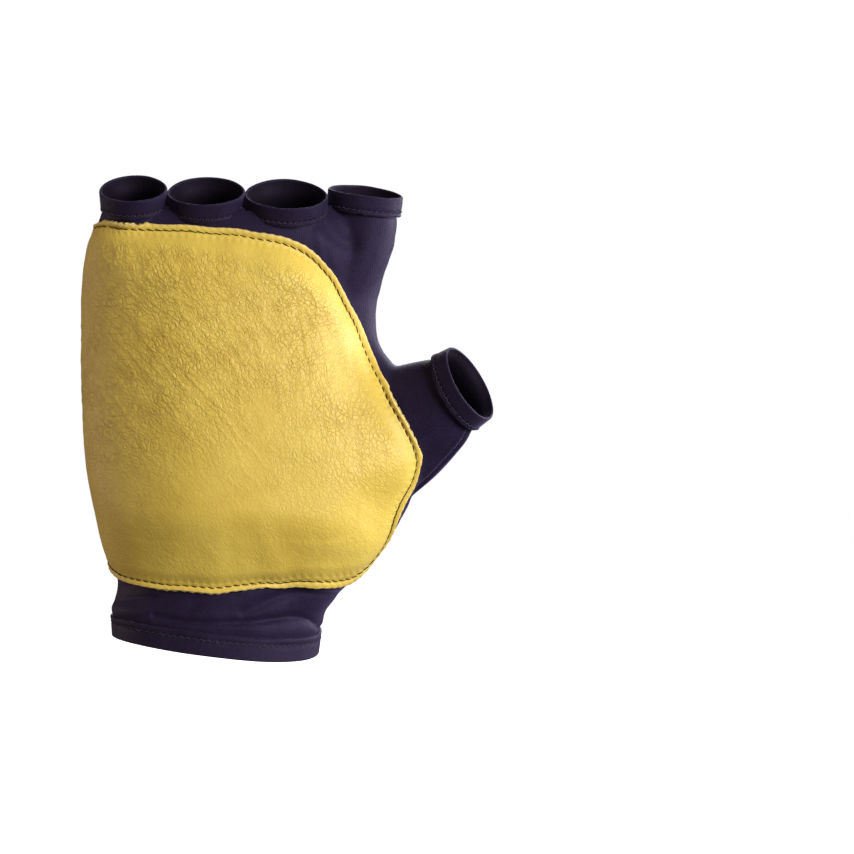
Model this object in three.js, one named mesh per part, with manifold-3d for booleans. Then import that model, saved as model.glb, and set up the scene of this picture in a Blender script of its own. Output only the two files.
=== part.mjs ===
// Fingerless impact glove for the right hand, in the form that a hand gives it: a thin knitted shell of
// two panels, a turned hem at each mouth, and a padded leather palm that wraps round the little-finger side.
// Millimetres, +Z up along the hand, the palm facing -Y and the thumb towards +X. The origin is the
// centre of the cuff's mouth, where the hand goes in.
import * as THREE from "three";
import { mergeVertices } from "three/addons/utils/BufferGeometryUtils.js";
import Module from "manifold-3d";

const wasm = await Module();
wasm.setup();

// Cloth and clearances
const KNIT_WALL = 1.2; // the knit, one layer
const HEM_WALL = 1.2; // the knit turned over at a mouth
const CLEARANCE = 0.3; // between pieces that are sewn to each other
const HEM_GAP = 0.4; // between a hem's outer leg and the knit under it

// Hand
const HAND_LENGTH = 134; // cuff mouth to the webs between the fingers
const WRIST_WIDTH = 60.6;
const WRIST_DEPTH = 40;
const PALM_WIDTH = 90; // across the knuckles
const PALM_DEPTH = 33; // palm to back at mid hand
const DEPTH_FADE = 0.7; // share of the hand's length over which the wrist's depth gives way to the palm's
const CUFF_SLANT_DEG = 5.1; // the cuff's mouth drops towards the thumb
const CUFF_DIP_DEG = 6; // and towards the palm
const CUFF_SLANT_FADE = 30; // height by which the slant has gone
const CUFF_HEM_HEIGHT = 6.6;

// Fingers
const FINGER_WIDTH = 20; // a middling stub, across, without its hem
const FINGER_DEPTH = 19;
const FINGER_LENGTH = 34; // from the mouth down to where the stub has merged with the palm
const MOUTH_RISE = 3.7; // middle of a finger's mouth above the webs
const KNUCKLE_DROP = 22; // the fingers bend towards the palm from this far below the webs
const KNUCKLE_ROUND = 10; // how gently the bend begins
const FINGER_HEM_HEIGHT = 6;

// Thumb
const THUMB_WIDTH = 21.5;
const THUMB_DEPTH = 19.5;
const THUMB_LENGTH = 66; // from the mouth to the root inside the palm
const THUMB_REACH = 77.4; // middle of the thumb's mouth from the hand's axis
const THUMB_DROP = 54.2; // and below the webs
const THUMB_RISE_DEG = 31; // above level, seen from the palm
const THUMB_TURN_DEG = 28; // towards the palm
const THUMB_TURN_FROM = 50; // the palm begins to turn here, across from the hand's axis
const THUMB_TURN_ROUND = 12;
const THUMB_HEM_HEIGHT = 6;

// Leather palm
const PAD_THICKNESS = 9; // leather and padding over the palm
const PAD_SIDE_THICKNESS = 4.5; // the same round the little-finger side
const PAD_TURN_RADIUS = 14; // of the hand's side that the leather wraps round
const PAD_EDGE_WALL = 1.5; // leather alone, at the sewn edge
const PAD_EDGE_WIDTH = 2.6; // sewn edge, outside the swell
const PAD_SWELL_WIDTH = 15; // over which the padding reaches its thickness

// Folds of the knit
const FOLD_WIDTH = 3; // half width of a middling fold
const FOLD_RAISE = 1.2; // and its height over the cloth
const FOLDED_SHARE = 0.2; // the folds lie below this share of HAND_LENGTH, where the sections stand closer

// Facets
const SIDES_ROUND_HAND = 30;
const SIDES_ROUND_FINGER = 18;
const SIDES_ROUND_PAD = 50;
const STEPS_OF_SEAM = 24; // of the middle surface, each way
const PAST_ENDS = 0.35; // how far the cut between the panels goes past the hand, as a share of its length
const HEM_CHAMFER = 0.45; // of a hem's fold, as a share of its wall
const PAD_SWELL_RINGS = [0.15, 0.4, 1]; // rings of the swell, as shares of its width
const PAD_FAN_RINGS = [0.6, 0.8, 0.97]; // rings inside it, as shares of the way to the pad's middle

// Sections of the hand from the cuff up. height is a share of HAND_LENGTH, wrist and palm are shares of
// WRIST_WIDTH and PALM_WIDTH that add up to the width, centre is the middle's place as a share of
// PALM_WIDTH, thick is a share of the depth between WRIST_DEPTH at the cuff and PALM_DEPTH at the
// knuckles, and square is the superellipse's power.
const HAND = [
  { height: 0.0, wrist: 1.0, palm: 0.0, centre: 0.004, thick: 1.0, square: 2.1 },
  { height: 0.06, wrist: 0.97, palm: 0.046, centre: 0.008, thick: 0.98, square: 2.1 },
  { height: 0.1, wrist: 0.93, palm: 0.094, centre: 0.018, thick: 0.97, square: 2.1 },
  { height: 0.145, wrist: 0.83, palm: 0.196, centre: 0.041, thick: 0.98, square: 2.1 },
  { height: 0.18, wrist: 0.68, palm: 0.381, centre: 0.075, thick: 1.02, square: 2.15 },
  { height: 0.22, wrist: 0.52, palm: 0.564, centre: 0.104, thick: 1.05, square: 2.2 },
  { height: 0.26, wrist: 0.38, palm: 0.718, centre: 0.124, thick: 1.08, square: 2.2 },
  { height: 0.35, wrist: 0.17, palm: 0.947, centre: 0.147, thick: 1.13, square: 2.25 },
  { height: 0.44, wrist: 0.05, palm: 1.094, centre: 0.169, thick: 1.14, square: 2.3 },
  { height: 0.53, wrist: 0.0, palm: 1.124, centre: 0.16, thick: 1.1, square: 2.35 },
  { height: 0.6, wrist: 0.0, palm: 1.071, centre: 0.131, thick: 1.06, square: 2.4 },
  { height: 0.65, wrist: 0.0, palm: 0.999, centre: 0.095, thick: 1.03, square: 2.45 },
  { height: 0.7, wrist: 0.0, palm: 0.959, centre: 0.076, thick: 1.0, square: 2.5 },
  { height: 0.78, wrist: 0.0, palm: 0.958, centre: 0.077, thick: 0.95, square: 2.5 },
  { height: 0.86, wrist: 0.0, palm: 0.981, centre: 0.091, thick: 0.9, square: 2.5 },
  { height: 0.92, wrist: 0.0, palm: 0.989, centre: 0.101, thick: 0.78, square: 2.5 },
  { height: 0.96, wrist: 0.0, palm: 0.967, centre: 0.099, thick: 0.58, square: 2.5 },
  { height: 0.985, wrist: 0.0, palm: 0.933, centre: 0.094, thick: 0.38, square: 2.5 },
  { height: 1.0, wrist: 0.0, palm: 0.906, centre: 0.092, thick: 0.16, square: 2.5 },
];

// The four finger stubs. across is the mouth's middle as a share of PALM_WIDTH, up is a share of
// MOUTH_RISE, wide and deep are shares of FINGER_WIDTH and FINGER_DEPTH, flex and lean are the stub's
// turn towards the palm and sideways in degrees, and tuck is its root's shift towards the thumb as a
// share of FINGER_WIDTH.
const FINGERS = [
  { name: "little", across: -0.2667, up: 1.05, wide: 0.83, deep: 0.87, flex: 29, lean: -2, tuck: 0.1 },
  { name: "ring", across: -0.0248, up: 0.92, wide: 0.99, deep: 0.99, flex: 28, lean: -1, tuck: 0.0 },
  { name: "middle", across: 0.2433, up: 0.73, wide: 1.07, deep: 1.02, flex: 29, lean: 1, tuck: 0.0 },
  { name: "index", across: 0.5145, up: 1.22, wide: 0.97, deep: 0.98, flex: 14, lean: 6, tuck: -0.16 },
];

// Sections of a finger stub: down is a share of FINGER_LENGTH from the mouth, tuck is the share of the
// root's shift that it has, and wide and deep are its size as shares of the stub's own.
const STUB = [
  { down: 0.0, tuck: 0.0, wide: 1.0, deep: 1.0 },
  { down: 0.19, tuck: 0.0, wide: 1.03, deep: 1.03 },
  { down: 0.28, tuck: 0.02, wide: 1.08, deep: 1.07 },
  { down: 0.5, tuck: 0.25, wide: 1.1, deep: 1.18 },
  { down: 0.75, tuck: 0.7, wide: 1.04, deep: 1.28 },
  { down: 1.0, tuck: 1.0, wide: 0.84, deep: 1.24 },
];

// Sections of the thumb stub: down is a share of THUMB_LENGTH from the mouth, tuck is the section's
// shift away from the fingers, and wide and deep are its size, as shares of THUMB_WIDTH and THUMB_DEPTH.
const THUMB = [
  { down: 0.0, tuck: 0.0, wide: 1.0, deep: 1.0 },
  { down: 0.1, tuck: 0.01, wide: 1.12, deep: 1.05 },
  { down: 0.17, tuck: 0.03, wide: 1.32, deep: 1.13 },
  { down: 0.3, tuck: 0.04, wide: 1.57, deep: 1.3 },
  { down: 0.4, tuck: 0.05, wide: 1.71, deep: 1.41 },
  { down: 0.55, tuck: 0.06, wide: 1.82, deep: 1.5 },
  { down: 0.75, tuck: 0.15, wide: 1.8, deep: 1.5 },
  { down: 1.0, tuck: 0.3, wide: 1.6, deep: 1.25 },
];

// Folds of the knit above the cuff's hem. side is -1 on the palm and 1 on the back, across is the
// fold's middle and spread its half length as shares of PALM_WIDTH, height is a share of HAND_LENGTH,
// climb is its rise per millimetre across, and width and raise are shares of FOLD_WIDTH and
// FOLD_RAISE, negative for a crease.
const FOLDS = [
  { side: -1, across: 0.11, spread: 0.25, height: 0.068, climb: -0.02, width: 0.9, raise: -1.0 },
  { side: -1, across: 0.13, spread: 0.22, height: 0.1, climb: 0.2, width: 1.0, raise: 0.8 },
  { side: -1, across: -0.28, spread: 0.12, height: 0.11, climb: 0.3, width: 0.8, raise: -0.6 },
  { side: 1, across: -0.22, spread: 0.25, height: 0.15, climb: 0.12, width: 1.0, raise: -0.9 },
  { side: 1, across: 0.2, spread: 0.25, height: 0.12, climb: 0.35, width: 1.3, raise: 0.8 },
];

// Where the leather turns round the sides of the hand: up is a share of HAND_LENGTH, little and thumb are
// the lines that it turns about, as shares of PALM_WIDTH.
const PAD_TURNS = [
  { up: 0.1, little: -0.19, thumb: 0.24 },
  { up: 0.22, little: -0.205, thumb: 0.41 },
  { up: 0.33, little: -0.23, thumb: 0.55 },
  { up: 0.43, little: -0.247, thumb: 0.68 },
  { up: 0.57, little: -0.255, thumb: 0.85 },
  { up: 1.0, little: -0.255, thumb: 0.85 },
];

// Outline of the leather palm, counterclockwise as the palm is seen. along runs from the little-finger
// side to the thumb side over the cloth, as a share of PALM_WIDTH from the hand's axis, and up is a
// share of HAND_LENGTH.
const PAD_OUTLINE = [
  { along: -0.6, up: 0.85 },
  { along: -0.6, up: 0.7 },
  { along: -0.595, up: 0.5 },
  { along: -0.565, up: 0.33 },
  { along: -0.505, up: 0.215 },
  { along: -0.44, up: 0.18 },
  { along: -0.372, up: 0.16 },
  { along: -0.282, up: 0.143 },
  { along: -0.208, up: 0.134 },
  { along: -0.13, up: 0.13 },
  { along: -0.063, up: 0.126 },
  { along: 0.005, up: 0.124 },
  { along: 0.073, up: 0.129 },
  { along: 0.138, up: 0.133 },
  { along: 0.205, up: 0.136 },
  { along: 0.27, up: 0.142 },
  { along: 0.341, up: 0.146 },
  { along: 0.441, up: 0.153 },
  { along: 0.53, up: 0.169 },
  { along: 0.582, up: 0.199 },
  { along: 0.603, up: 0.239 },
  { along: 0.622, up: 0.286 },
  { along: 0.655, up: 0.33 },
  { along: 0.69, up: 0.374 },
  { along: 0.699, up: 0.421 },
  { along: 0.68, up: 0.46 },
  { along: 0.646, up: 0.507 },
  { along: 0.589, up: 0.584 },
  { along: 0.533, up: 0.658 },
  { along: 0.495, up: 0.723 },
  { along: 0.474, up: 0.755 },
  { along: 0.45, up: 0.786 },
  { along: 0.422, up: 0.82 },
  { along: 0.39, up: 0.853 },
  { along: 0.349, up: 0.883 },
  { along: 0.303, up: 0.904 },
  { along: 0.247, up: 0.919 },
  { along: 0.191, up: 0.928 },
  { along: 0.073, up: 0.937 },
  { along: -0.049, up: 0.944 },
  { along: -0.187, up: 0.949 },
  { along: -0.3, up: 0.953 },
  { along: -0.411, up: 0.958 },
  { along: -0.51, up: 0.95 },
  { along: -0.57, up: 0.91 },
];
const PAD_MIDDLE = { along: 0.05, up: 0.52 }; // the outline is fanned round this point

const KNIT = new THREE.MeshStandardMaterial({ color: 0x2f2a45, roughness: 0.9, metalness: 0 });
const HEM = new THREE.MeshStandardMaterial({ color: 0x35304c, roughness: 0.9, metalness: 0 });
const LEATHER = new THREE.MeshStandardMaterial({ color: 0xdcb63c, roughness: 0.55, metalness: 0 });

const rad = THREE.MathUtils.degToRad;
const { clamp, lerp, smoothstep } = THREE.MathUtils;

// A column of a table at a place along its key: a cubic whose slope at each row comes from the rows beside it.
function column(rows, key, name, at) {
  const last = rows.length - 1;
  let i = 0;
  while (i < last - 1 && at > rows[i + 1][key]) i += 1;
  const step = rows[i + 1][key] - rows[i][key];
  const t = clamp((at - rows[i][key]) / step, 0, 1);
  const slope = (j) => {
    const [before, after] = [rows[Math.max(j - 1, 0)], rows[Math.min(j + 1, last)]];
    return (step * (after[name] - before[name])) / (after[key] - before[key]);
  };
  const [u, v] = [t * t * (3 - 2 * t), t * (1 - t)];
  return lerp(rows[i][name], rows[i + 1][name], u) + v * ((1 - t) * slope(i) - t * slope(i + 1));
}

// Zero, then a straight rise of 1 for 1, with a round start of the given size.
const ramp = (value, round) => (value + Math.hypot(value, round)) / 2;

// The thumb's own axes: along points out of its mouth, wide lies in the hand's plane and deep across it.
const thumbAlong = new THREE.Vector3(
  Math.cos(rad(THUMB_RISE_DEG)) * Math.cos(rad(THUMB_TURN_DEG)),
  -Math.sin(rad(THUMB_TURN_DEG)),
  Math.sin(rad(THUMB_RISE_DEG)) * Math.cos(rad(THUMB_TURN_DEG)),
);

// y of the hand's middle surface, where the two panels meet: flat at the palm, bent towards the palm
// past the knuckles, and turned towards it under the thumb.
function middle(x, z) {
  const flexes = FINGERS.map((f) => ({ x: f.across * PALM_WIDTH, flex: Math.tan(rad(f.flex)) }));
  const flex = column(flexes, "x", "flex", x);
  const turn = -thumbAlong.y / thumbAlong.x;
  const knuckles = HAND_LENGTH - KNUCKLE_DROP;
  const belowCrotch = 1 - smoothstep(z, HAND_LENGTH - THUMB_DROP, knuckles);
  return (
    -ramp(z - knuckles, KNUCKLE_ROUND) * flex -
    ramp(x - THUMB_TURN_FROM, THUMB_TURN_ROUND) * turn * belowCrotch
  );
}

// How far the folds lift the knit at a point of the hand, on the side of the panel it belongs to.
function foldLift(x, z, sine) {
  return FOLDS.reduce((sum, f) => {
    const across = (x - f.across * PALM_WIDTH) / (f.spread * PALM_WIDTH);
    const line = f.height * HAND_LENGTH + f.climb * (x - f.across * PALM_WIDTH);
    const facing = clamp(sine * f.side * 2, 0, 1);
    const off = (z - line) / (f.width * FOLD_WIDTH);
    return sum + f.raise * FOLD_RAISE * facing * Math.exp(-(across ** 2) - off ** 2);
  }, 0);
}

const signedPower = (value, power) => Math.sign(value) * Math.abs(value) ** power;

// The hand's section at a height share: its centre, half width, half depth and power.
function handSection(share, grow = 0) {
  const part = (name) => column(HAND, "height", name, share);
  const depth = lerp(WRIST_DEPTH, PALM_DEPTH, clamp(share / DEPTH_FADE, 0, 1)) * part("thick");
  return {
    centre: part("centre") * PALM_WIDTH,
    half: (part("wrist") * WRIST_WIDTH + part("palm") * PALM_WIDTH) / 2 + grow,
    deep: depth / 2 + grow,
    power: 2 / part("square"),
  };
}

// A point of the hand's surface at a height and an angle round it, grown outwards by a distance. Angle 0
// is the thumb's side and a quarter turn is the back.
function handPoint(z, angle, grow) {
  const s = handSection(z / HAND_LENGTH, grow);
  const [cosine, sine] = [Math.cos(angle), Math.sin(angle)];
  const lift = foldLift(s.centre + s.half * cosine, z, sine);
  const x = s.centre + s.half * signedPower(cosine, s.power);
  const y = middle(x, z) + (s.deep + lift) * signedPower(sine, s.power);
  const dip = Math.tan(rad(CUFF_DIP_DEG)) * (1 + x / WRIST_WIDTH);
  const tilt = y * dip - x * Math.tan(rad(CUFF_SLANT_DEG));
  return new THREE.Vector3(x, y, z + tilt * (1 - smoothstep(z, 0, CUFF_SLANT_FADE)));
}

const turns = (count) => Array.from({ length: count }, (_, i) => (i / count) * 2 * Math.PI);

// A closed skin over rings of points. Each end is closed by a fan, or, for a hoop, the last ring joins
// the first.
function skin(rings, hoop = false) {
  const [count, sides] = [rings.length, rings[0].length];
  const points = rings.flat();
  const faces = [];
  for (let i = 0; i < (hoop ? count : count - 1); i += 1)
    for (let j = 0; j < sides; j += 1) {
      const [a, b] = [i * sides + j, i * sides + ((j + 1) % sides)];
      const next = ((i + 1) % count) * sides;
      const [c, d] = [next + ((j + 1) % sides), next + j];
      faces.push(a, b, c, a, c, d);
    }
  if (!hoop)
    [rings[0], rings[count - 1]].forEach((ring, end) => {
      const centre = ring.reduce((sum, p) => sum.add(p), new THREE.Vector3()).divideScalar(sides);
      points.push(centre);
      ring.forEach((_, j) => {
        const [a, b] = [end * (count - 1) * sides + j, end * (count - 1) * sides + ((j + 1) % sides)];
        faces.push(points.length - 1, ...(end ? [a, b] : [b, a]));
      });
    });
  return new THREE.BufferGeometry().setFromPoints(points).setIndex(faces);
}

// A closed geometry as a solid for cutting and joining, and back. Faces that point inwards are turned.
function solid(geometry) {
  const merged = mergeVertices(geometry, 1e-4);
  const make = (triVerts) =>
    new wasm.Manifold(
      new wasm.Mesh({ numProp: 3, vertProperties: merged.attributes.position.array, triVerts }),
    );
  const made = make(new Uint32Array(merged.index.array));
  return made.volume() > 0 ? made : make(new Uint32Array(merged.index.array).reverse());
}

function geometry(made) {
  const mesh = made.getMesh();
  return new THREE.BufferGeometry()
    .setAttribute("position", new THREE.BufferAttribute(mesh.vertProperties, 3))
    .setIndex(new THREE.BufferAttribute(mesh.triVerts, 1));
}

// Hand without its stubs, from one height up to the webs, grown by a distance.
function hand(from, grow) {
  const heights = HAND.flatMap((row, i) => {
    const next = HAND[i + 1];
    return next && row.height < FOLDED_SHARE ? [row.height, (row.height + next.height) / 2] : [row.height];
  });
  const levels = [from, ...heights.map((h) => h * HAND_LENGTH).filter((z) => z > Math.max(from, 0) + 1)];
  levels[levels.length - 1] += grow;
  const angles = turns(SIDES_ROUND_HAND);
  return solid(skin(levels.map((z) => angles.map((angle) => handPoint(z, angle, grow)))));
}

// A stub's axes at a place: along it, across it in the hand's plane and through it.
function stubAxes(centre, along) {
  const wide = new THREE.Vector3(along.z, 0, -along.x).normalize();
  return { centre, wide, deep: new THREE.Vector3().crossVectors(along, wide).normalize() };
}

// A stub's spine follows the hand's middle surface from the mouth, at the given place and slope of x and z:
// it gives the axes at a way down.
function spineFrom(x, z, slopeX, slopeZ) {
  const centre = (down) => {
    const [atX, atZ] = [x - down * slopeX, z - down * slopeZ];
    return new THREE.Vector3(atX, middle(atX, atZ), atZ);
  };
  return (down) => stubAxes(centre(down), centre(down - 1).sub(centre(down + 1)).normalize());
}

const thumbSpine = spineFrom(THUMB_REACH, HAND_LENGTH - THUMB_DROP, thumbAlong.x, thumbAlong.z);

function fingerSpine(finger) {
  const [flex, lean] = [rad(finger.flex), rad(finger.lean)];
  const mouth = HAND_LENGTH + finger.up * MOUTH_RISE;
  return spineFrom(finger.across * PALM_WIDTH, mouth, Math.sin(lean), Math.cos(flex));
}

// A ring of points round a stub, a way down its spine, shifted across, and of the given half sizes.
function stubRing(spine, down, shift, halfWide, halfDeep) {
  const { centre, wide, deep } = spine(down);
  return turns(SIDES_ROUND_FINGER).map((angle) =>
    centre
      .clone()
      .addScaledVector(wide, shift + halfWide * Math.cos(angle))
      .addScaledVector(deep, halfDeep * Math.sin(angle)),
  );
}

// A stub from a place near its mouth to its root, grown by a distance.
function stub(spine, rows, length, tuck, wide, deep, from, grow) {
  const levels = [from, ...rows.map((row) => row.down * length).filter((down) => down > from + 1)];
  const rings = levels.map((down) => {
    const part = (name) => column(rows, "down", name, down / length);
    const [halfWide, halfDeep] = [(part("wide") * wide) / 2 + grow, (part("deep") * deep) / 2 + grow];
    return stubRing(spine, down, part("tuck") * tuck, halfWide, halfDeep);
  });
  return solid(skin(rings));
}

// Hand, fingers and thumb in one, grown by a distance, with the mouths a way down from their rims.
function wholeHand(cuffFrom, mouthFrom, grow) {
  const fingers = FINGERS.map((finger) => {
    const [wide, deep] = [FINGER_WIDTH * finger.wide, FINGER_DEPTH * finger.deep];
    const tuck = FINGER_WIDTH * finger.tuck;
    return stub(fingerSpine(finger), STUB, FINGER_LENGTH, tuck, wide, deep, mouthFrom, grow);
  });
  const thumb = stub(thumbSpine, THUMB, THUMB_LENGTH, THUMB_WIDTH, THUMB_WIDTH, THUMB_DEPTH, mouthFrom, grow);
  return [...fingers, thumb].reduce((sum, next) => sum.add(next), hand(cuffFrom, grow));
}

// Everything on one side of the hand's middle surface: side is -1 for the palm and 1 for the back.
function halfSpace(side) {
  const [reach, count] = [2 * HAND_LENGTH, STEPS_OF_SEAM];
  const place = (i) => lerp(-PALM_WIDTH, THUMB_REACH + PALM_WIDTH, i / count);
  const rise = (j) => lerp(-PAST_ENDS, 1 + PAST_ENDS, j / count) * HAND_LENGTH;
  const rings = Array.from({ length: count + 1 }, (_, j) => {
    const row = Array.from({ length: count + 1 }, (_, i) => {
      const [x, z] = [place(i), rise(j)];
      return new THREE.Vector3(x, middle(x, z) + (side * CLEARANCE) / 2, z);
    });
    const far = (x) => new THREE.Vector3(x, side * reach, rise(j));
    return [...row, far(place(count)), far(place(0))];
  });
  return solid(skin(rings));
}

const edge = HEM_WALL + CLEARANCE; // the cloth ends this far inside a hem's fold
const past = -2 * edge; // and its hollow is cut out past its ends
const cloth = wholeHand(edge, edge, CLEARANCE);

// A turned hem: a lip over the cloth's edge and a leg down its outside. ring gives the points round the
// mouth at a distance down from the rim and out from the cloth.
function hem(ring, height) {
  const [out, turn] = [HEM_GAP + HEM_WALL, HEM_WALL * HEM_CHAMFER];
  const profile = [
    [HEM_WALL, -KNIT_WALL],
    [turn, -KNIT_WALL],
    [0, turn - KNIT_WALL],
    [0, out - turn],
    [turn, out],
    [height, out],
    [height, HEM_GAP],
    [HEM_WALL, HEM_GAP],
  ];
  return solid(skin(profile.map(([down, away]) => ring(down, away)), true)).subtract(cloth);
}

// The leather palm: it swells from a thin sewn edge, and lies on the cloth that it is sewn to.
function palmPad(cloth) {
  const place = (row) => new THREE.Vector2(row.along * PALM_WIDTH, row.up * HAND_LENGTH);
  const fan = place(PAD_MIDDLE);
  const loop = new THREE.CatmullRomCurve3(
    PAD_OUTLINE.map((row) => new THREE.Vector3(...place(row), 0)),
    true,
  );
  const outline = loop.getSpacedPoints(SIDES_ROUND_PAD).slice(0, SIDES_ROUND_PAD);
  const clothMesh = new THREE.Mesh(geometry(cloth), new THREE.MeshBasicMaterial({ side: THREE.DoubleSide }));
  const caster = new THREE.Raycaster();

  // A place of the pad on the cloth: a line out through the cloth, how far along it the cloth lies, and
  // how much padding goes there.
  function seat(edge, fromEdge) {
    const reach = Math.hypot(edge.x - fan.x, edge.y - fan.y);
    const inwards = fromEdge / reach;
    const [across, z] = [lerp(edge.x, fan.x, inwards), lerp(edge.y, fan.y, inwards)];
    const turn = (name) => column(PAD_TURNS, "up", name, z / HAND_LENGTH) * PALM_WIDTH;
    const x = clamp(across, turn("little"), turn("thumb"));
    const angle = (across - x) / PAD_TURN_RADIUS;
    const out = new THREE.Vector3(Math.sin(angle), -Math.cos(angle), 0);
    const from = new THREE.Vector3(x, middle(x, z), z);
    caster.set(from, out);
    const hits = caster.intersectObject(clothMesh);
    const swell = Math.sin((Math.PI / 2) * clamp((fromEdge - PAD_EDGE_WIDTH) / PAD_SWELL_WIDTH, 0, 1));
    const full = lerp(PAD_THICKNESS, PAD_SIDE_THICKNESS, clamp(-angle, 0, 1));
    return { from, out, far: hits[hits.length - 1].distance, rise: lerp(PAD_EDGE_WALL, full, swell) };
  }

  const swelling = PAD_SWELL_RINGS.map((share) => PAD_EDGE_WIDTH + share * PAD_SWELL_WIDTH);
  const starts = [0, PAD_EDGE_WIDTH, ...swelling];
  const levels = starts.map((fromEdge) => outline.map((edge) => seat(edge, fromEdge)));
  PAD_FAN_RINGS.forEach((share) =>
    levels.push(outline.map((edge) => seat(edge, share * Math.hypot(edge.x - fan.x, edge.y - fan.y)))),
  );
  const at = (v, rise) => v.from.clone().addScaledVector(v.out, v.far + rise);
  const outer = levels.map((level) => level.map((v) => at(v, CLEARANCE + v.rise)));
  const inner = levels.map((level) => level.map((v) => at(v, -PAD_THICKNESS)));
  return solid(skin([...inner.reverse(), ...outer]));
}

const outside = wholeHand(edge, edge, 0);
const inside = wholeHand(past, past, -KNIT_WALL);
const shell = outside.subtract(inside);

const glove = new THREE.Group();
glove.name = "impact_glove";

function addPiece(name, made, material) {
  const mesh = new THREE.Mesh(geometry(made), material);
  mesh.name = name;
  glove.add(mesh);
}

addPiece("back_panel", shell.intersect(halfSpace(1)), KNIT);
addPiece("palm_panel", shell.intersect(halfSpace(-1)), KNIT);

const aroundHems = [];
FINGERS.forEach((finger) => {
  const [halfWide, halfDeep] = [(FINGER_WIDTH * finger.wide) / 2, (FINGER_DEPTH * finger.deep) / 2];
  const spine = fingerSpine(finger);
  const ring = (down, away) => stubRing(spine, down, 0, halfWide + away, halfDeep + away);
  addPiece(`${finger.name}_hem`, hem(ring, FINGER_HEM_HEIGHT), HEM);
  const clear = HEM_GAP + HEM_WALL + CLEARANCE;
  aroundHems.push(solid(skin([ring(-edge, clear), ring(FINGER_HEM_HEIGHT + CLEARANCE, clear)])));
});

const thumbRing = (down, away) =>
  stubRing(thumbSpine, down, 0, THUMB_WIDTH / 2 + away, THUMB_DEPTH / 2 + away);
addPiece("thumb_hem", hem(thumbRing, THUMB_HEM_HEIGHT), HEM);

const cuffRing = (down, away) => turns(SIDES_ROUND_HAND).map((angle) => handPoint(down, angle, away));
addPiece("cuff_hem", hem(cuffRing, CUFF_HEM_HEIGHT), HEM);

const cutPad = [cloth, ...aroundHems].reduce((left, cutter) => left.subtract(cutter), palmPad(outside));
addPiece("palm_pad", cutPad, LEATHER);

export default glove;
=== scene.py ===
"""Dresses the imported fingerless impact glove: knit panels, turned hems, a padded leather palm and threads.

Everything is built in millimetres from the same named sizes as the CAD part, in the same frame, and
becomes metres where a mesh is made. The palm faces -Y, the fingers point to +Z and the thumb to +X.
"""

import logging
import math
from dataclasses import dataclass, field
from enum import Enum
from functools import partial
from typing import Callable, Sequence

import bmesh
import bpy
import numpy as np
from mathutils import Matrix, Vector

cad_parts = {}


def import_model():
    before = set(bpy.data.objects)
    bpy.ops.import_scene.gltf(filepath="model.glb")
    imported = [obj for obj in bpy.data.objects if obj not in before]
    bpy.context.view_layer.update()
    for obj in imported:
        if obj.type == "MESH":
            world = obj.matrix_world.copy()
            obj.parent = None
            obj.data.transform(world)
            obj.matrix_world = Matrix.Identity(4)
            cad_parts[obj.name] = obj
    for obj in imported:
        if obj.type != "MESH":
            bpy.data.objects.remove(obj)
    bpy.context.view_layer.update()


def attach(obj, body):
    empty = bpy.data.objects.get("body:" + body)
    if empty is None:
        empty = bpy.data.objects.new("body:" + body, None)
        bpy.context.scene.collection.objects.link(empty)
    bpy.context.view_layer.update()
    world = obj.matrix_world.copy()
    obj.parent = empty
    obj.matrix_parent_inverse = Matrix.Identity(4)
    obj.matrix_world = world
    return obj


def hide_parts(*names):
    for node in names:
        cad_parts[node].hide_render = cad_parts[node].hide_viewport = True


log = logging.getLogger("glove")
MM = 0.001

# Cloth
KNIT_WALL = 0.8
CLEARANCE = 0.3
HEM_OUT = 1.7  # a finger hem's outside, out from the knit
CUFF_HEM_OUT = 1.45
HEM_FOLD = 0.8  # thickness of the fold at a mouth's rim
RIM_INSET = 3.0  # the knit ends this far inside a hem
HEM_TAIL = 3.6  # the fold's inner leg runs this far past the lip and thins out into the knit
SEAM_PUCKER = 0.22  # the cloth's unevenness along the side seam
SEAM_GROOVE = 0.55  # depth of the seam's own line
SEAM_RIDGE = 0.25  # height of the cloth beside it
OVER_HEM = 0.65  # the cloth's fullness over the cuff's hem
HEEL_FULLNESS = 2.3  # and at the heel of the hand
WAIST_DRAW = 1.2  # the cloth is drawn in by this at the little-finger side of the wrist
SLOW_UNEVEN, QUICK_UNEVEN = 0.22, 0.07

# Hand
HAND_LENGTH = 134.0
WRIST_WIDTH = 60.6
WRIST_DEPTH = 40.0
PALM_WIDTH = 90.0
PALM_DEPTH = 33.0
DEPTH_FADE = 0.7  # share of the hand's length over which the wrist's depth gives way to the palm's
CUFF_SLANT_DEG = 5.1
CUFF_DIP_DEG = 6.0
CUFF_SLANT_FADE = 30.0
CUFF_HEM_HEIGHT = 6.6

# Fingers
FINGER_WIDTH = 20.0
FINGER_DEPTH = 19.0
FINGER_LENGTH = 34.0
MOUTH_RISE = 3.7
KNUCKLE_DROP = 22.0
KNUCKLE_ROUND = 10.0
FINGER_HEM_HEIGHT = 6.0

# Thumb
THUMB_WIDTH = 21.5
THUMB_DEPTH = 19.5
THUMB_LENGTH = 66.0
THUMB_REACH = 77.4
THUMB_DROP = 54.2
THUMB_RISE_DEG = 31.0
THUMB_TURN_DEG = 28.0
THUMB_TURN_FROM = 50.0
THUMB_TURN_ROUND = 12.0
THUMB_HEM_HEIGHT = 6.0

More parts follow.
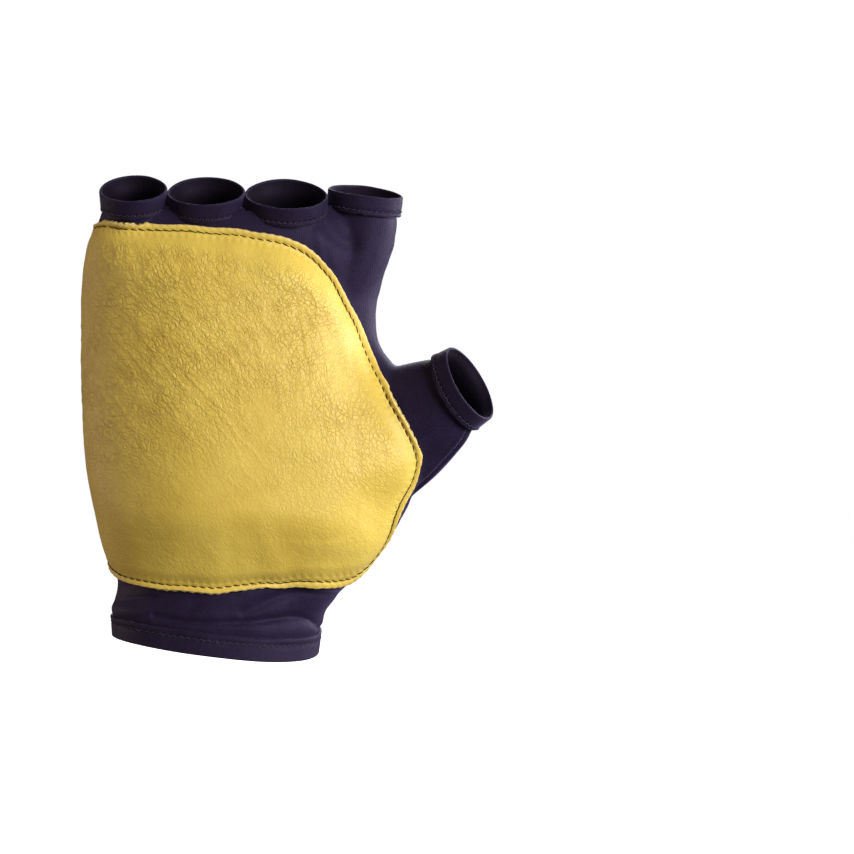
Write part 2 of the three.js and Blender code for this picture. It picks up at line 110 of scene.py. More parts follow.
# Leather palm
PAD_THICKNESS = 9.0
PAD_SIDE_THICKNESS = 4.5
PAD_TURN_RADIUS = 14.0
LEATHER_WALL = 1.3
STITCH_INSET = 1.9
STITCH_PITCH = 2.6
PAD_EDGE_LENGTH = 405.0  # once round the sewn edge, which sets how many stitches draw it in
PAD_CROWN = 1.3  # the padding stands this much higher at its middle
PAD_RUN = 15.5  # distance over which it rises to its full height
PAD_RUN_HEEL = 12.0  # and more at the heel of the hand
PAD_RUN_INDEX = 5.5  # less under the index finger
PAD_THINNED = 0.4  # share of its height that it loses at the base of the thumb
PAD_SHOULDER = 0.55  # height of the roll along the index finger's side
STITCH_GROOVE, STITCH_DIMPLE = 0.42, 0.16  # depth of the sewn groove, and its change at each stitch
GRAIN_RIDGE = 0.2  # height of the drawn-out ridges
PAD_WAVE = 0.28  # height of the slow waves

WHITE = (1.0, 1.0, 1.0, 1.0)


def ease(value: np.ndarray, low: float, high: float) -> np.ndarray:
    """Smooth step from 0 at low to 1 at high.

    Args:
        value: Places to read it at.
        low: Where it leaves 0.
        high: Where it reaches 1.

    Returns:
        The step, of the same shape as value.
    """
    t = np.clip((value - low) / (high - low), 0.0, 1.0)
    return t * t * (3 - 2 * t)


def bell(value: np.ndarray, centre: float, width: float) -> np.ndarray:
    """A bell curve of height 1 round its centre, down to 1/e at its width."""
    return np.exp(-(((value - centre) / width) ** 2))


def ramp(value: np.ndarray, rounding: float) -> np.ndarray:
    """Zero, then a straight rise of 1 for 1, with a rounded start."""
    return (value + np.hypot(value, rounding)) / 2


def unit(v: np.ndarray) -> np.ndarray:
    """Vectors along the last axis, scaled to length 1."""
    return v / np.maximum(np.linalg.norm(v, axis=-1, keepdims=True), 1e-9)


def signed_power(value: np.ndarray, power: np.ndarray) -> np.ndarray:
    """A power that keeps the sign of its base."""
    return np.sign(value) * np.abs(value) ** power


@dataclass(frozen=True)
class Table:
    """Rows of numbers that are read as smooth curves against their first column."""

    columns: str
    rows: tuple

    def at(self, name: str, place: np.ndarray) -> np.ndarray:
        """A column at places along the first column.

        The curve between two rows is a cubic, and its slope at each row comes from the rows beside it.

        Args:
            name: The column to read.
            place: Places along the first column.

        Returns:
            The column's values at those places.
        """
        data = np.array(self.rows, float)
        keys, values = data[:, 0], data[:, self.columns.split().index(name)]
        place = np.asarray(place, float)
        i = np.clip(np.searchsorted(keys, place, side="left") - 1, 0, len(keys) - 2)
        padded = np.arange(len(keys))
        before, after = np.maximum(padded - 1, 0), np.minimum(padded + 1, len(keys) - 1)
        slopes = (values[after] - values[before]) / (keys[after] - keys[before])
        step = keys[i + 1] - keys[i]
        t = np.clip((place - keys[i]) / step, 0, 1)
        u, v = t * t * (3 - 2 * t), t * (1 - t) * step
        return values[i] * (1 - u) + values[i + 1] * u + v * ((1 - t) * slopes[i] - t * slopes[i + 1])


HAND = Table(
    "height wrist palm centre thick square",
    (
        (0.0, 1.0, 0.0, 0.004, 1.0, 2.1),
        (0.06, 0.97, 0.046, 0.008, 0.98, 2.1),
        (0.1, 0.93, 0.094, 0.018, 0.97, 2.1),
        (0.145, 0.83, 0.196, 0.041, 0.98, 2.1),
        (0.18, 0.68, 0.381, 0.075, 1.02, 2.15),
        (0.22, 0.52, 0.564, 0.104, 1.05, 2.2),
        (0.26, 0.38, 0.718, 0.124, 1.08, 2.2),
        (0.35, 0.17, 0.947, 0.147, 1.13, 2.25),
        (0.44, 0.05, 1.094, 0.169, 1.14, 2.3),
        (0.53, 0.0, 1.124, 0.16, 1.1, 2.35),
        (0.6, 0.0, 1.071, 0.131, 1.06, 2.4),
        (0.65, 0.0, 0.999, 0.095, 1.03, 2.45),
        (0.7, 0.0, 0.959, 0.076, 1.0, 2.5),
        (0.78, 0.0, 0.958, 0.077, 0.95, 2.5),
        (0.86, 0.0, 0.981, 0.091, 0.9, 2.5),
        (0.92, 0.0, 0.989, 0.101, 0.78, 2.5),
        (0.96, 0.0, 0.967, 0.099, 0.58, 2.5),
        (0.985, 0.0, 0.933, 0.094, 0.38, 2.5),
        (1.0, 0.0, 0.906, 0.092, 0.16, 2.5),
    ),
)
STUB = Table(
    "down tuck wide deep",
    (
        (0.0, 0.0, 1.0, 1.0),
        (0.19, 0.0, 1.03, 1.03),
        (0.28, 0.02, 1.08, 1.07),
        (0.5, 0.25, 1.1, 1.18),
        (0.75, 0.7, 1.04, 1.28),
        (1.0, 1.0, 0.84, 1.24),
    ),
)
THUMB = Table(
    "down tuck wide deep",
    (
        (0.0, 0.0, 1.0, 1.0),
        (0.1, 0.01, 1.12, 1.05),
        (0.17, 0.03, 1.32, 1.13),
        (0.3, 0.04, 1.57, 1.3),
        (0.4, 0.05, 1.71, 1.41),
        (0.55, 0.06, 1.82, 1.5),
        (0.75, 0.15, 1.8, 1.5),
        (1.0, 0.3, 1.6, 1.25),
    ),
)
PAD_TURNS = Table(
    "up little thumb",
    (
        (0.1, -0.19, 0.24),
        (0.22, -0.205, 0.41),
        (0.33, -0.23, 0.55),
        (0.43, -0.247, 0.68),
        (0.57, -0.255, 0.85),
        (1.0, -0.255, 0.85),
    ),
)
PAD_OUTLINE = (
    (-0.6, 0.85), (-0.6, 0.7), (-0.595, 0.5), (-0.565, 0.33), (-0.505, 0.215), (-0.44, 0.18),
    (-0.372, 0.16), (-0.282, 0.143), (-0.208, 0.134), (-0.13, 0.13), (-0.063, 0.126),
    (0.005, 0.124), (0.073, 0.129), (0.138, 0.133), (0.205, 0.136), (0.27, 0.142), (0.341, 0.146),
    (0.441, 0.153), (0.53, 0.169), (0.582, 0.199), (0.603, 0.239), (0.622, 0.286), (0.655, 0.33),
    (0.69, 0.374), (0.699, 0.421), (0.68, 0.46), (0.646, 0.507), (0.589, 0.584), (0.533, 0.658),
    (0.495, 0.723), (0.474, 0.755), (0.45, 0.786), (0.422, 0.82), (0.39, 0.853), (0.349, 0.883),
    (0.303, 0.904), (0.247, 0.919), (0.191, 0.928), (0.073, 0.937), (-0.049, 0.944),
    (-0.187, 0.949), (-0.3, 0.953), (-0.411, 0.958), (-0.51, 0.95), (-0.57, 0.91),
)
PAD_MIDDLE = (0.05, 0.52)


@dataclass(frozen=True)
class Finger:
    """A finger stub's place and turn, in the same shares and degrees as the CAD part's table."""

    name: str
    across: float
    up: float
    wide: float
    deep: float
    flex: float
    lean: float
    tuck: float


FINGERS = (
    Finger("little", -0.2667, 1.05, 0.83, 0.87, 29, -2, 0.1),
    Finger("ring", -0.0248, 0.92, 0.99, 0.99, 28, -1, 0.0),
    Finger("middle", 0.2433, 0.73, 1.07, 1.02, 29, 1, 0.0),
    Finger("index", 0.5145, 1.22, 0.97, 0.98, 14, 6, -0.16),
)


def thumb_direction() -> np.ndarray:
    """The way out of the thumb's mouth, length 1."""
    rise, turn = math.radians(THUMB_RISE_DEG), math.radians(THUMB_TURN_DEG)
    return np.array([math.cos(rise) * math.cos(turn), -math.sin(turn), math.sin(rise) * math.cos(turn)])


def middle(x: np.ndarray, z: np.ndarray) -> np.ndarray:
    """y of the hand's middle surface, where the two panels meet.

    It is flat at the palm. Above the knuckles it bends towards the palm, by the tangent of each finger's
    flex, and under the thumb it turns towards the palm by the thumb's own turn.

    Args:
        x: Places across the hand.
        z: Places along it.

    Returns:
        y in millimetres, of the broadcast shape.
    """
    flexes = Table("x flex", tuple((f.across * PALM_WIDTH, math.tan(math.radians(f.flex))) for f in FINGERS))
    along = thumb_direction()
    knuckles = HAND_LENGTH - KNUCKLE_DROP
    below_crotch = 1 - ease(z, HAND_LENGTH - THUMB_DROP, knuckles)
    turned = ramp(x - THUMB_TURN_FROM, THUMB_TURN_ROUND) * (-along[1] / along[0]) * below_crotch
    return -ramp(z - knuckles, KNUCKLE_ROUND) * flexes.at("flex", x) - turned


def hand_section(z: np.ndarray) -> tuple:
    """Section of the hand.

    Args:
        z: Heights along the hand.

    Returns:
        Centre, half width, half depth and power of the section at each height.
    """
    share = np.asarray(z, float) / HAND_LENGTH
    part = {name: HAND.at(name, share) for name in HAND.columns.split()[1:]}
    fade = np.clip(share / DEPTH_FADE, 0, 1)
    depth = (WRIST_DEPTH * (1 - fade) + PALM_DEPTH * fade) * part["thick"]
    half = (part["wrist"] * WRIST_WIDTH + part["palm"] * PALM_WIDTH) / 2
    return part["centre"] * PALM_WIDTH, half, depth / 2, 2 / part["square"]


def cuff_tilt(x: np.ndarray, y: np.ndarray) -> np.ndarray:
    """Rise of the cuff's mouth at places across it: it drops towards the thumb and the palm."""
    dip = math.tan(math.radians(CUFF_DIP_DEG)) * (1 + x / WRIST_WIDTH)
    return y * dip - x * math.tan(math.radians(CUFF_SLANT_DEG))


def hand_point(z: np.ndarray, angle: np.ndarray, grow: float) -> np.ndarray:
    """Points of the hand's skin: a superellipse round the middle surface, its cuff end slanted.

    Args:
        z: Heights before the slant.
        angle: Angles round the section, 0 at the thumb's side and a quarter turn at the back.
        grow: Distance outwards from the skin.

    Returns:
        Points, with the broadcast shape of z and angle and a last axis of 3.
    """
    z, angle = np.broadcast_arrays(np.asarray(z, float), np.asarray(angle, float))
    centre, half, deep, power = hand_section(z)
    x = centre + (half + grow) * signed_power(np.cos(angle), power)
    y = middle(x, z) + (deep + grow) * signed_power(np.sin(angle), power)
    return np.stack([x, y, z + cuff_tilt(x, y) * (1 - ease(z, 0, CUFF_SLANT_FADE))], -1)


@dataclass(frozen=True)
class Stub:
    """A finger or thumb stub: a spine on the hand's middle surface with elliptic sections."""

    name: str
    x: float
    z: float
    slope_x: float
    slope_z: float
    rows: Table
    length: float
    wide: float
    deep: float
    tuck: float

    def centre(self, down: np.ndarray) -> np.ndarray:
        """Spine points.

        Args:
            down: Ways down from the mouth.

        Returns:
            Points, last axis 3.
        """
        down = np.asarray(down, float)
        x, z = self.x - down * self.slope_x, self.z - down * self.slope_z
        return np.stack([x, middle(x, z), z], -1)

    def axes(self, down: np.ndarray) -> tuple:
        """Directions of the stub.

        Args:
            down: Ways down from the mouth.

        Returns:
            Unit vectors along the spine, across it in the hand's plane, and through it.
        """
        down = np.asarray(down, float)
        along = unit(self.centre(down - 1) - self.centre(down + 1))
        wide = unit(np.stack([along[..., 2], np.zeros_like(down), -along[..., 0]], -1))
        return along, wide, np.cross(along, wide)

    def sizes(self, down: np.ndarray) -> tuple:
        """Sizes of the stub's section.

        Args:
            down: Ways down from the mouth.

        Returns:
            Half width, half depth and sideways shift.
        """
        share = np.clip(np.asarray(down, float) / self.length, 0, 1)
        wide, deep = self.rows.at("wide", share) * self.wide, self.rows.at("deep", share) * self.deep
        return wide / 2, deep / 2, self.rows.at("tuck", share) * self.tuck

    def ring(self, down: np.ndarray, angle: np.ndarray, away: np.ndarray) -> np.ndarray:
        """Points round the stub: an ellipse across the spine.

        Args:
            down: Ways down from the mouth.
            angle: Angles round the stub, 0 on its wide axis.
            away: Distances out from the skin.

        Returns:
            Points of the broadcast shape, last axis 3.
        """
        down, angle, away = np.broadcast_arrays(*(np.asarray(v, float) for v in (down, angle, away)))
        _, wide, deep = self.axes(down)
        half_wide, half_deep, shift = self.sizes(down)
        return (
            self.centre(down)
            + wide * (shift + (half_wide + away) * np.cos(angle))[..., None]
            + deep * ((half_deep + away) * np.sin(angle))[..., None]
        )

    def place(self, p: np.ndarray) -> tuple:
        """Where points lie in the stub.

        The way down starts from the spine's slope and is mended twice by a step along the spine.

        Args:
            p: Points, last axis 3.

        Returns:
            Ways down from the mouth, and offsets from the spine in half widths and depths.
        """
        slope = self.slope_x**2 + self.slope_z**2
        down = ((self.x - p[..., 0]) * self.slope_x + (self.z - p[..., 2]) * self.slope_z) / slope
        for _ in range(2):
            step = (self.centre(down - 1) - self.centre(down + 1)) / 2
            down = down - ((p - self.centre(down)) * step).sum(-1) / (step * step).sum(-1)
        _, wide, deep = self.axes(down)
        half_wide, half_deep, shift = self.sizes(down)
        offset = p - self.centre(down)
        across = ((offset * wide).sum(-1) - shift) / half_wide
        through = (offset * deep).sum(-1) / half_deep
        return down, np.hypot(across, through)


def finger_stub(finger: Finger) -> Stub:
    """The stub of one finger.

    Args:
        finger: The finger's row.

    Returns:
        The stub.
    """
    flex, lean = math.radians(finger.flex), math.radians(finger.lean)
    x, z = finger.across * PALM_WIDTH, HAND_LENGTH + finger.up * MOUTH_RISE
    wide, deep, tuck = FINGER_WIDTH * finger.wide, FINGER_DEPTH * finger.deep, FINGER_WIDTH * finger.tuck
    return Stub(finger.name, x, z, math.sin(lean), math.cos(flex), STUB, FINGER_LENGTH, wide, deep, tuck)


def thumb_stub() -> Stub:
    """The stub of the thumb.

    Returns:
        The stub.
    """
    along = thumb_direction()
    z, sizes = HAND_LENGTH - THUMB_DROP, (THUMB_LENGTH, THUMB_WIDTH, THUMB_DEPTH, THUMB_WIDTH)
    return Stub("thumb", THUMB_REACH, z, along[0], along[2], THUMB, *sizes)


class Lattice:
    """Repeatable smooth noise: random values on a lattice, blended between its points."""

    def __init__(self, seed: int, size: int = 24) -> None:
        """Draws the lattice's values from the seed."""
        self.size = size
        self.values = np.random.default_rng(seed).random((size, size, size)) * 2 - 1

    def at(self, p: np.ndarray, scale: float) -> np.ndarray:
        """Noise from -1 to 1.

        Args:
            p: Points, last axis 3.
            scale: Size of one lattice cell, in the points' unit.

        Returns:
            One value for each point.
        """
        q = p / scale
        base = np.floor(q).astype(int)
        t = q - base
        t = t * t * (3 - 2 * t)
        total = np.zeros(p.shape[:-1])
        for corner in np.ndindex(2, 2, 2):
            i = (base + corner) % self.size
            weight = np.prod(np.where(np.array(corner) == 1, t, 1 - t), axis=-1)
            total += self.values[i[..., 0], i[..., 1], i[..., 2]] * weight
        return total


def signed_volume(points: np.ndarray, faces: Sequence[np.ndarray]) -> float:
    """Volume inside closed faces: a sum of tetrahedra from the origin.

    Args:
        points: Places of the corners.
        faces: Arrays of faces, each array with one number of corners.

    Returns:
        The volume, below zero where the faces look inwards.
    """
    total = 0.0
    for group in faces:
        a = points[group[:, 0]]
        for k in range(1, group.shape[1] - 1):
            b, c = points[group[:, k]], points[group[:, k + 1]]
            total += float((a * np.cross(b, c)).sum()) / 6
    return total


def make_mesh(
    name: str, points: np.ndarray, faces: Sequence[np.ndarray], closed: bool = False
) -> bpy.types.Mesh:
    """A mesh from points and faces.

    Args:
        name: Its name.
        points: Places in millimetres.
        faces: Arrays of faces, each array with one number of corners.
        closed: Whether the faces close, so that they can be turned to face outwards.

    Returns:
        The mesh, shaded smooth.
    """
    if closed and signed_volume(points, faces) < 0:
        faces = [f[:, ::-1] for f in faces]
    mesh = bpy.data.meshes.new(name)
    totals = np.concatenate([np.full(len(f), f.shape[1]) for f in faces])
    loops = np.concatenate([f.ravel() for f in faces])
    mesh.vertices.add(len(points))
    mesh.vertices.foreach_set("co", (points * MM).astype(np.float32).ravel())
    mesh.loops.add(len(loops))
    mesh.loops.foreach_set("vertex_index", loops.astype(np.int32))
    mesh.polygons.add(len(totals))
    mesh.polygons.foreach_set("loop_start", np.concatenate([[0], np.cumsum(totals)[:-1]]).astype(np.int32))
    mesh.polygons.foreach_set("loop_total", totals.astype(np.int32))
    mesh.update(calc_edges=True)
    mesh.validate()
    mesh.shade_smooth()
    return mesh


def add_object(name: str, data: bpy.types.ID) -> bpy.types.Object:
    """Puts data in the scene as an object at the origin.

    Args:
        name: The object's name.
        data: A mesh, a camera or a light.

    Returns:
        The object.
    """
    obj = bpy.data.objects.new(name, data)
    bpy.context.scene.collection.objects.link(obj)
    return obj


def grid_faces(rows: int, columns: int, closed_rows: bool, closed_columns: bool) -> np.ndarray:
    """Quads over a grid of points that may close on itself along either axis.

    Args:
        rows: Number of rows of points.
        columns: Number of points in a row.
        closed_rows: Whether the last row joins the first.
        closed_columns: Whether each row joins its start.

    Returns:
        Corners of the quads, last axis 4.
    """
    i = np.arange(rows if closed_rows else rows - 1)[:, None]
    j = np.arange(columns if closed_columns else columns - 1)[None, :]
    i2, j2 = (i + 1) % rows, (j + 1) % columns
    quads = [i * columns + j, i * columns + j2, i2 * columns + j2, i2 * columns + j]
    return np.stack([q.reshape(-1) for q in quads], -1)


def capped_tube(rings: np.ndarray) -> tuple:
    """A closed skin over rings, with a fan at each end.

    Args:
        rings: Points of rings by around by 3.

    Returns:
        Its points, its quads and the triangles of its fans.
    """
    rows, columns = rings.shape[:2]
    points = np.concatenate([rings.reshape(-1, 3), rings[0].mean(0)[None], rings[-1].mean(0)[None]])
    j = np.arange(columns)
    j2, first, last = (j + 1) % columns, rows * columns, rows * columns + 1
    low = np.stack([np.full(columns, first), j2, j], -1)
    high = np.stack([np.full(columns, last), (rows - 1) * columns + j, (rows - 1) * columns + j2], -1)
    return points, grid_faces(rows, columns, False, True), np.concatenate([low, high])


def evaluated(obj: bpy.types.Object) -> bpy.types.Mesh:
    """A new mesh of the object with its modifiers applied."""
    graph = bpy.context.evaluated_depsgraph_get()
    return bpy.data.meshes.new_from_object(obj.evaluated_get(graph))


def coordinates(mesh: bpy.types.Mesh, what: str = "co") -> np.ndarray:
    """Reads the vertices.

    Args:
        mesh: The mesh.
        what: "co" for places in millimetres, or "normal".

    Returns:
        One row of 3 for each vertex.
    """
    flat = np.empty(len(mesh.vertices) * 3, np.float32)
    mesh.vertices.foreach_get(what, flat)
    return flat.reshape(-1, 3).astype(float) / (MM if what == "co" else 1.0)


def move_vertices(mesh: bpy.types.Mesh, points: np.ndarray) -> None:
    """Sets vertex places from millimetres."""
    mesh.vertices.foreach_set("co", (points * MM).astype(np.float32).ravel())
    mesh.update()


def keep_faces(mesh: bpy.types.Mesh, name: str, chosen: np.ndarray) -> bpy.types.Mesh:
    """A new mesh of the chosen faces alone.

    Args:
        mesh: The mesh to take them from.
        name: The new mesh's name.
        chosen: Whether each face is taken.

    Returns:
        The new mesh.
    """
    starts, totals = np.empty(len(mesh.polygons), np.int32), np.empty(len(mesh.polygons), np.int32)
    mesh.polygons.foreach_get("loop_start", starts)
    mesh.polygons.foreach_get("loop_total", totals)
    corners = np.empty(len(mesh.loops), np.int32)
    mesh.loops.foreach_get("vertex_index", corners)
    kept = corners[np.repeat(chosen, totals)]
    used, places = np.unique(kept, return_inverse=True)
    totals = totals[chosen]
    firsts = np.concatenate([[0], np.cumsum(totals)[:-1]])
    groups = [places[firsts[totals == n][:, None] + np.arange(n)] for n in np.unique(totals)]
    return make_mesh(name, coordinates(mesh)[used], groups)


def face_centres(mesh: bpy.types.Mesh) -> np.ndarray:
    """Middles of the faces.

    Args:
        mesh: The mesh.

    Returns:
        Points in millimetres.
    """
    flat = np.empty(len(mesh.polygons) * 3, np.float32)
    mesh.polygons.foreach_get("center", flat)
    return flat.reshape(-1, 3).astype(float) / MM


def write_uv(mesh: bpy.types.Mesh, name: str, uv: np.ndarray) -> None:
    """Gives each vertex a pair of texture coordinates.

    Args:
        mesh: The mesh.
        name: The layer's name.
        uv: A pair for each vertex.
    """
    corners = np.empty(len(mesh.loops), np.int32)
    mesh.loops.foreach_get("vertex_index", corners)
    layer = mesh.uv_layers.new(name=name)
    layer.uv.foreach_set("vector", uv[corners].astype(np.float32).ravel())


def write_values(mesh: bpy.types.Mesh, name: str, values: np.ndarray) -> None:
    """Gives each vertex a number that a material can read."""
    layer = mesh.attributes.new(name, "FLOAT", "POINT")
    layer.data.foreach_set("value", values.astype(np.float32))


def srgb(code: str) -> tuple:
    """A linear colour from an sRGB hex code."""
    parts = [int(code[i : i + 2], 16) / 255 for i in (1, 3, 5)]
    return tuple(c / 12.92 if c <= 0.04045 else ((c + 0.055) / 1.055) ** 2.4 for c in parts) + (1.0,)


def add_node(
    tree: bpy.types.NodeTree, kind: str, inputs: dict | tuple = (), out: int | str = 0, **settings: object
) -> bpy.types.NodeSocket | None:
    """Adds a shader node with its settings and links.

    Args:
        tree: The node tree.
        kind: The node type without its ShaderNode prefix.
        inputs: What feeds its sockets, in order or by name or place: an output to link from, or a value.
        out: The output that is returned, by name or place.
        **settings: Node properties.

    Returns:
        The output, or None for a node without one.
    """
    node = tree.nodes.new("ShaderNode" + kind)
    for key, value in settings.items():
        setattr(node, key, value)
    for key, value in (inputs if isinstance(inputs, dict) else dict(enumerate(inputs))).items():
        if isinstance(value, bpy.types.NodeSocket):
            tree.links.new(value, node.inputs[key])
        else:
            node.inputs[key].default_value = value
    return node.outputs[out] if len(node.outputs) else None


def new_material(name: str) -> tuple:
    """An empty material.

    Args:
        name: Its name.

    Returns:
        The material, and add_node bound to its tree.
    """
    material = bpy.data.materials.new(name)
    material.use_nodes = True
    material.node_tree.nodes.clear()
    return material, partial(add_node, material.node_tree)


# the colour sockets of a Mix node, by place, and the name of its kind
MIX_A, MIX_B, MIX_RESULT = 6, 7, 2
COLOURS = "RGBA"


@dataclass(frozen=True)
class KnitFinish:
    """Fine rib knit of dyed nylon: upright columns of small loops under a matt fuzz."""

    name: str
    light: str
    dark: str
    wale_mm: float = 0.55  # coarser than the real 0.4, which is too fine to show
    course_mm: float = 0.7
    gloss: float = 0.17
    sheen: float = 0.3
    depth: float = 0.00004

    def loops(self, add: Callable, across: object, along: object) -> object:
        """Height of the loops: columns, each of short leaning loops.

        Args:
            add: Adds a node to the material.
            across: Place across the columns in millimetres.
            along: Place along them.

        Returns:
            The height's output, from -1 to 1.
        """
        wale = add("Math", (across, 2 * math.pi / self.wale_mm), operation="MULTIPLY")
        wale = add("Math", (wale,), operation="SINE")
        lean = add("Math", (across, math.pi / self.wale_mm), operation="MULTIPLY")
        lean = add("Math", (add("Math", (lean,), operation="SINE"),), operation="ABSOLUTE")
        rise = add("Math", (lean, self.course_mm * 0.5, along), operation="MULTIPLY_ADD")
        course = add("Math", (rise, 2 * math.pi / self.course_mm), operation="MULTIPLY")
        course = add("Math", (add("Math", (course,), operation="SINE"), 0.3), operation="MULTIPLY")
        return add("Math", (wale, 0.7, course), operation="MULTIPLY_ADD")

    def build(self) -> bpy.types.Material:
        """Makes the material, which reads the piece's weave coordinates in millimetres.

        The first pair of coordinates serves faces that look to the palm or the back, the second those that
        look sideways, and the attribute "sideways" blends them.

        Returns:
            The material.
        """
        material, add = new_material(self.name)
        weave = add("UVMap", uv_map="weave")
        edgewise = add("UVMap", uv_map="edgewise")
        sideways = add("Attribute", out="Fac", attribute_name="sideways")
        hole_shade = add("Attribute", out="Fac", attribute_name="hole_shade")
        wander = add("TexNoise", {"Vector": weave, "Scale": 0.12, "Detail": 2.0, "Roughness": 0.55})
        loops = []
        for pair in (weave, edgewise):
            across = add("SeparateXYZ", (pair,), out="X")
            along = add("SeparateXYZ", (pair,), out="Y")
            across = add("Math", (wander, 1.2, across), operation="MULTIPLY_ADD")
            loops.append(self.loops(add, across, along))
        apart = add("Math", (loops[1], loops[0]), operation="SUBTRACT")
        loop = add("Math", (sideways, apart, loops[0]), operation="MULTIPLY_ADD")
        place = add("TexCoord", out="Object")
        fuzz = add("TexNoise", {"Vector": place, "Scale": 1700.0, "Detail": 3.0, "Roughness": 0.65})
        mottle = add("TexNoise", {"Vector": place, "Scale": 160.0, "Detail": 4.0, "Roughness": 0.62})
        shade = add("Math", (mottle, 0.6), operation="MULTIPLY")
        shade = add("Math", (fuzz, 0.75, shade), operation="MULTIPLY_ADD")
        # the loops' tops a little lighter and the gaps between them darker: painted shade over the knit's
        # relief, mixed with its mottled tone
        shade = add("Math", (loop, 0.07, shade), operation="MULTIPLY_ADD")
        shade = add("MapRange", (shade, 0.25, 0.95))
        colours = {0: shade, MIX_A: srgb(self.dark), MIX_B: srgb(self.light)}
        colour = add("Mix", colours, out=MIX_RESULT, data_type=COLOURS)
        # painted shade: the knit darkened to near black at the hem's stitch holes, where shade falls in their
        # puckers
        painted_hole_shade = add("Math", (hole_shade, 0.85), operation="MULTIPLY")
        colours = {0: painted_hole_shade, MIX_A: colour, MIX_B: srgb("#060408")}
        colour = add("Mix", colours, out=MIX_RESULT, data_type=COLOURS)
        height = add("Math", (fuzz, 2.4), operation="MULTIPLY")
        height = add("Math", (loop, 0.42, height), operation="MULTIPLY_ADD")
        sockets = {
            "Base Color": colour,
            "Roughness": 0.55,
            "Specular IOR Level": self.gloss,
            "Specular Tint": srgb("#c4b4ea"),
            "Sheen Weight": self.sheen,
            "Sheen Roughness": 0.4,
            "Sheen Tint": srgb("#9d8cc8"),
            "Normal": add("Bump", {"Height": height, "Distance": self.depth, "Strength": 0.9}),
        }
        add("OutputMaterial", (add("BsdfPrincipled", sockets),))
        return material


